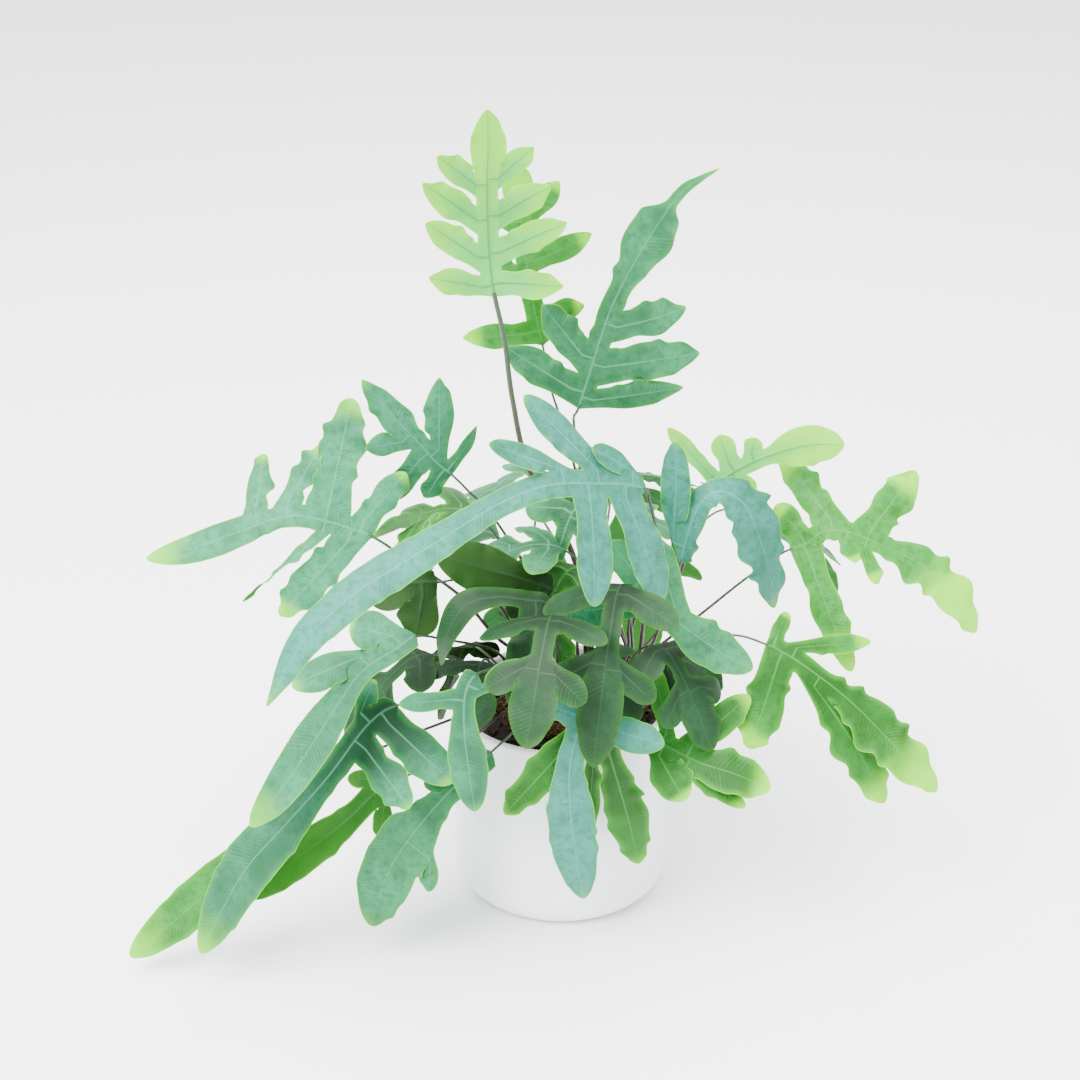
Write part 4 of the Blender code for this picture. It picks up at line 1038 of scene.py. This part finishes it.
def turned_mesh(name, profile, steps):
    """A closed round mesh from a profile of (radius, height) that starts and ends on the axis."""
    mesh = bmesh.new()
    rim = [mesh.verts.new((radius, 0, height)) for radius, height in profile]
    edges = [mesh.edges.new(pair) for pair in zip(rim, rim[1:])]
    bmesh.ops.spin(mesh, geom=rim + edges, cent=(0, 0, 0), axis=(0, 0, 1),
                   angle=2 * math.pi, steps=steps, use_merge=True)
    bmesh.ops.remove_doubles(mesh, verts=mesh.verts, dist=1e-6)
    bmesh.ops.recalc_face_normals(mesh, faces=mesh.faces)
    data = bpy.data.meshes.new(name)
    mesh.to_mesh(data)
    mesh.free()
    smooth_up_to(data, 40)
    return data


def make_pot():
    """Straight-sided pot with a rounded foot, a recess under it and a rounded lip."""
    recess = [(0, FOOT_RECESS), (FOOT_RING - 2 * FOOT_EDGE, FOOT_RECESS)]
    recess += arc((FOOT_RING - FOOT_EDGE, FOOT_RECESS), FOOT_RECESS, 180, 270, 5)[1:]
    foot = arc((POT_RADIUS - POT_CORNER, POT_CORNER), POT_CORNER, 270, 360, 18)
    lip_centre = (POT_RADIUS - POT_WALL / 2, POT_HEIGHT - POT_WALL / 2)
    walls = [(POT_RADIUS, POT_CORNER + k * (lip_centre[1] - POT_CORNER) / 12)
             for k in range(1, 12)]
    lip = arc(lip_centre, POT_WALL / 2, 0, 180, 14)
    inner_radius = POT_CORNER - POT_WALL
    inner_centre = (POT_RADIUS - POT_WALL - inner_radius, POT_FLOOR + inner_radius)
    inside = arc(inner_centre, inner_radius, 360, 270, 8)
    profile = recess + foot + walls + lip + inside + [(0, POT_FLOOR)]
    mesh = turned_mesh("pot_body", profile, 144)
    add_piece("pot_body", mesh, [pot_material()], "pot")


def chip(chances, centre, size):
    """Points and faces of one rough chip, a squashed and jittered ball."""
    mesh = bmesh.new()
    bmesh.ops.create_icosphere(mesh, subdivisions=1, radius=1)
    scale = size * np.array([1.0, chances.uniform(0.45, 0.9), chances.uniform(0.3, 0.6)])
    spin = chances.normal(size=3)
    axis = unit(spin)
    angle = np.full(1, chances.uniform(0, math.pi))
    points = np.array([vert.co for vert in mesh.verts])
    points = points * (1 + 0.22 * chances.normal(size=(len(points), 1)).clip(-1.5, 1.5)) * scale
    points = turn(points, axis[None, :], np.repeat(angle, len(points))) + centre
    faces = [[vert.index for vert in face.verts] for face in mesh.faces]
    mesh.free()
    return points, faces


def make_soil():
    """Potting mix: an uneven top filled with bark chips and crumbs."""
    chances = np.random.default_rng(7)
    angles = [2 * math.pi * step / SOIL_STEPS for step in range(SOIL_STEPS)]
    points = [np.array([0, 0, SOIL_TOP - 0.001])]
    for ring in range(1, SOIL_RINGS + 1):
        radius = SOIL_RADIUS * ring / SOIL_RINGS
        for angle in angles:
            x, y = radius * math.cos(angle), radius * math.sin(angle)
            bumps = noise.fractal(Vector((x, y, 0)) * 90, 0.8, 2.0, 4)
            points.append(np.array([x, y, SOIL_TOP - 0.001 + 0.0012 * bumps]))
    radius = POT_RADIUS - POT_CORNER
    floor = len(points)
    points += [np.array([radius * math.cos(angle), radius * math.sin(angle), POT_FLOOR + SOIL_GAP])
               for angle in angles]
    faces = [[0, 1 + k, 1 + (k + 1) % SOIL_STEPS] for k in range(SOIL_STEPS)]
    for first in range(1, floor, SOIL_STEPS):
        below = first + SOIL_STEPS
        for k in range(SOIL_STEPS):
            n = (k + 1) % SOIL_STEPS
            faces.append([first + k, below + k, below + n, first + n])
    faces.append([floor + k for k in range(SOIL_STEPS)][::-1])
    tones = [0.3] * len(points)
    for _ in range(CHIP_COUNT):
        radius = (SOIL_RADIUS - 0.004) * math.sqrt(chances.random())
        angle = chances.uniform(0, 2 * math.pi)
        size = 0.0012 + 0.0028 * chances.random() ** 2
        centre = np.array([radius * math.cos(angle), radius * math.sin(angle),
                           SOIL_TOP - 0.0006 + 0.2 * size])
        chip_points, chip_faces = chip(chances, centre, size)
        first = len(points)
        points.extend(chip_points)
        faces.extend([[first + k for k in face] for face in chip_faces])
        tones += [chances.random() ** 1.5] * len(chip_points)
    mesh = new_mesh("potting_mix", points, faces)
    write_points(mesh, "tone", tones)
    smooth_up_to(mesh, 35)
    material = grainy_material("potting_mix", (0.006, 0.004, 0.003), (0.045, 0.027, 0.014),
                               500.0, 0.95)
    add_piece("potting_mix", mesh, [material], "soil")


def tube_points(line, radii, sides):
    """Rings of points round a line."""
    ahead = unit(np.gradient(line, axis=0))
    side = unit(np.cross(ahead, [0.31, 0.17, 0.93]))
    other = np.cross(ahead, side)
    angles = np.linspace(0, 2 * math.pi, sides, endpoint=False)
    ring = (np.cos(angles)[None, :, None] * side[:, None, :]
            + np.sin(angles)[None, :, None] * other[:, None, :])
    return line[:, None, :] + ring * np.asarray(radii)[:, None, None], ring


def tube_faces(count, sides):
    """Faces of a closed tube, with its end rings filled."""
    faces = []
    for row in range(count - 1):
        for k in range(sides):
            n = (k + 1) % sides
            a, b = row * sides + k, row * sides + n
            faces.append([a, b, b + sides, a + sides])
    faces.append(list(range(sides))[::-1])
    faces.append([(count - 1) * sides + k for k in range(sides)])
    return faces


def make_rhizome(name, seed, material):
    """A creeping rhizome under a coat of narrow golden-brown scales."""
    chances = np.random.default_rng(seed)
    creep = creep_of(name)
    where = np.linspace(0, creep.length, math.ceil(creep.length / 1.6))
    line = place(creep.at(where))
    line[:, 2] = RHIZOME_HEIGHT
    ends = np.minimum(where, creep.length - where) / 6
    lumps = np.array([noise.noise(Vector((w * 0.12, seed * 3.1, 0))) for w in where])
    radii = (RHIZOME_RADIUS - 0.0012) * (0.45 + 0.55 * np.sqrt(np.clip(ends, 0, 1)))
    radii = radii * (1 - 0.1 * abs(lumps))
    rings, outward = tube_points(line, radii, RHIZOME_SIDES)
    points = list(rings.reshape(-1, 3))
    faces = tube_faces(len(line), RHIZOME_SIDES)
    tones = [0.1] * len(points)
    for _ in range(int(creep.length * SCALES_PER_MM)):
        row = chances.integers(1, len(line) - 1)
        k = chances.integers(0, RHIZOME_SIDES)
        root = rings[row, k] - outward[row, k] * 0.0003
        grow = line[min(row + 1, len(line) - 1)] - line[row - 1]
        lean = unit(unit(grow) * chances.normal(0.6, 0.5) + outward[row, k] * 0.55
                    + 0.35 * chances.normal(size=3))
        tip = root + lean * chances.uniform(0.0018, 0.0042)
        tip[2] = np.clip(tip[2], SOIL_TOP - 0.001, CROWN + 0.001)
        wide = unit(np.cross(lean, outward[row, k] + 1e-3)) * chances.uniform(0.00025, 0.0005)
        thick = unit(np.cross(lean, wide)) * 0.00012
        middle = root * 0.6 + tip * 0.4
        first = len(points)
        points.extend([root, middle + wide, middle + thick, middle - wide, middle - thick, tip])
        for a, b in ((1, 2), (2, 3), (3, 4), (4, 1)):
            faces.append([first, first + b, first + a])
            faces.append([first + 5, first + a, first + b])
        tones += [chances.uniform(0.25, 1.0)] * 6
    mesh = new_mesh("rhizome_coat_" + name, points, faces)
    write_points(mesh, "tone", tones)
    face_outward(mesh)
    mesh.shade_smooth()
    add_piece("rhizome_coat_" + name, mesh, [material], "rhizome_" + name)


def face_outward(mesh):
    """Turn every closed body of a mesh to face out."""
    work = bmesh.new()
    work.from_mesh(mesh)
    bmesh.ops.recalc_face_normals(work, faces=work.faces)
    work.to_mesh(mesh)
    work.free()


def make_stalk(frond, material):
    """The wiry stalk of a frond, slightly swollen at its foot, up to the base of its blade."""
    route, start = frond_route(frond)
    name = "stalk_" + frond["name"]
    end = start + STALK_REACH
    where = np.linspace(-1.0, end, math.ceil(end / STALK_SPACING))
    line = route.at(np.maximum(where, 0))
    line[0, 2] -= 1.0
    rise = np.clip(where / start, 0, 1)
    radii = STALK_FOOT_RADIUS + (STALK_TOP_RADIUS - STALK_FOOT_RADIUS) * rise
    radii = radii * frond["stout"]
    swell = 0.7 * np.exp(-np.maximum(where, 0) / 4)
    radii = radii + swell - 0.35 * smoothstep((where - start) / STALK_REACH)
    rings, _ = tube_points(place(line), radii * MM, STALK_SIDES)
    mesh = new_mesh(name, rings.reshape(-1, 3), tube_faces(len(line), STALK_SIDES))
    write_points(mesh, "rise", np.repeat(rise, STALK_SIDES))
    face_outward(mesh)
    smooth_up_to(mesh, 50)
    add_piece(name, mesh, [material], "frond_" + frond["name"])


def make_fronds():
    """Every frond's stalk and blade."""
    wiry = stalk_material()
    sides = {kind: [leaf_upper(kind), leaf_under(kind)] for kind in COLOURS}
    for seed, frond in enumerate(all_fronds()):
        name = frond["name"]
        make_stalk(frond, wiry)
        mesh = shell_mesh("blade_" + name, blade_sheet(frond, seed))
        # Numbers for each frond's material: wax bloom with painted light, painted shade towards the
        # base of the blade, and a ripe tip
        for label in ("bloom_and_painted_light", "painted_shade", "ripe"):
            write_points(mesh, label, np.full(len(mesh.vertices), frond[label]))
        add_piece("blade_" + name, mesh, sides[frond["kind"]], "frond_" + name)


def make_floor():
    """A plain pale floor."""
    half = 15.0
    corners = [(-half, -half, 0), (half, -half, 0), (half, half, 0), (-half, half, 0)]
    mesh = new_mesh("floor", corners, [[0, 1, 2, 3]])
    paint = Paint("floor")
    grain = paint.noise(3.0, 2.0)
    colour = paint.mix(grain, (0.93, 0.93, 0.935), (0.94, 0.94, 0.945))
    mesh.materials.append(paint.finish(colour, 0.6))
    floor = bpy.data.objects.new("floor", mesh)
    bpy.context.scene.collection.objects.link(floor)


def aim_at(target, thing):
    """Turn a light or camera to look at a target, and put it in the scene."""
    toward = Vector(target) - thing.location
    thing.rotation_euler = toward.to_track_quat("-Z", "Y").to_euler()
    bpy.context.scene.collection.objects.link(thing)


def area_light(name, place_at, size, power):
    """A soft square light that looks at the middle of the plant."""
    data = bpy.data.lights.new(name, "AREA")
    data.size = size
    data.energy = power
    light = bpy.data.objects.new(name, data)
    light.location = place_at
    aim_at((0, 0, 0.3), light)


def make_light():
    """Soft studio light: a bright even room and a large window-like light from the upper left."""
    world = bpy.data.worlds.new("studio")
    world.use_nodes = True
    background = world.node_tree.nodes["Background"]
    background.inputs["Color"].default_value = (0.95, 0.96, 1.0, 1)
    background.inputs["Strength"].default_value = 2.5
    bpy.context.scene.world = world
    area_light("key", (-1.2, -1.1, 1.9), 1.5, 170)
    area_light("top", (0.3, 0.4, 2.2), 2.4, 150)


def make_camera():
    """The camera, looking down on the plant a little."""
    data = bpy.data.cameras.new("camera")
    data.lens = 70
    data.sensor_width = 36
    camera = bpy.data.objects.new("camera", data)
    target = Vector((-0.0148, 0, 0.2608))
    tilt = math.radians(26)
    distance = 1.3875
    camera.location = target + distance * Vector((0, -math.cos(tilt), math.sin(tilt)))
    aim_at(target, camera)
    bpy.context.scene.camera = camera


make_pot()
make_soil()
fur = grainy_material("rhizome_fur", (0.04, 0.016, 0.005), (0.26, 0.13, 0.035), 300.0, 0.9)
for number, name in enumerate(RHIZOMES):
    make_rhizome(name, 40 + number, fur)
make_fronds()
make_floor()
make_light()
make_camera()
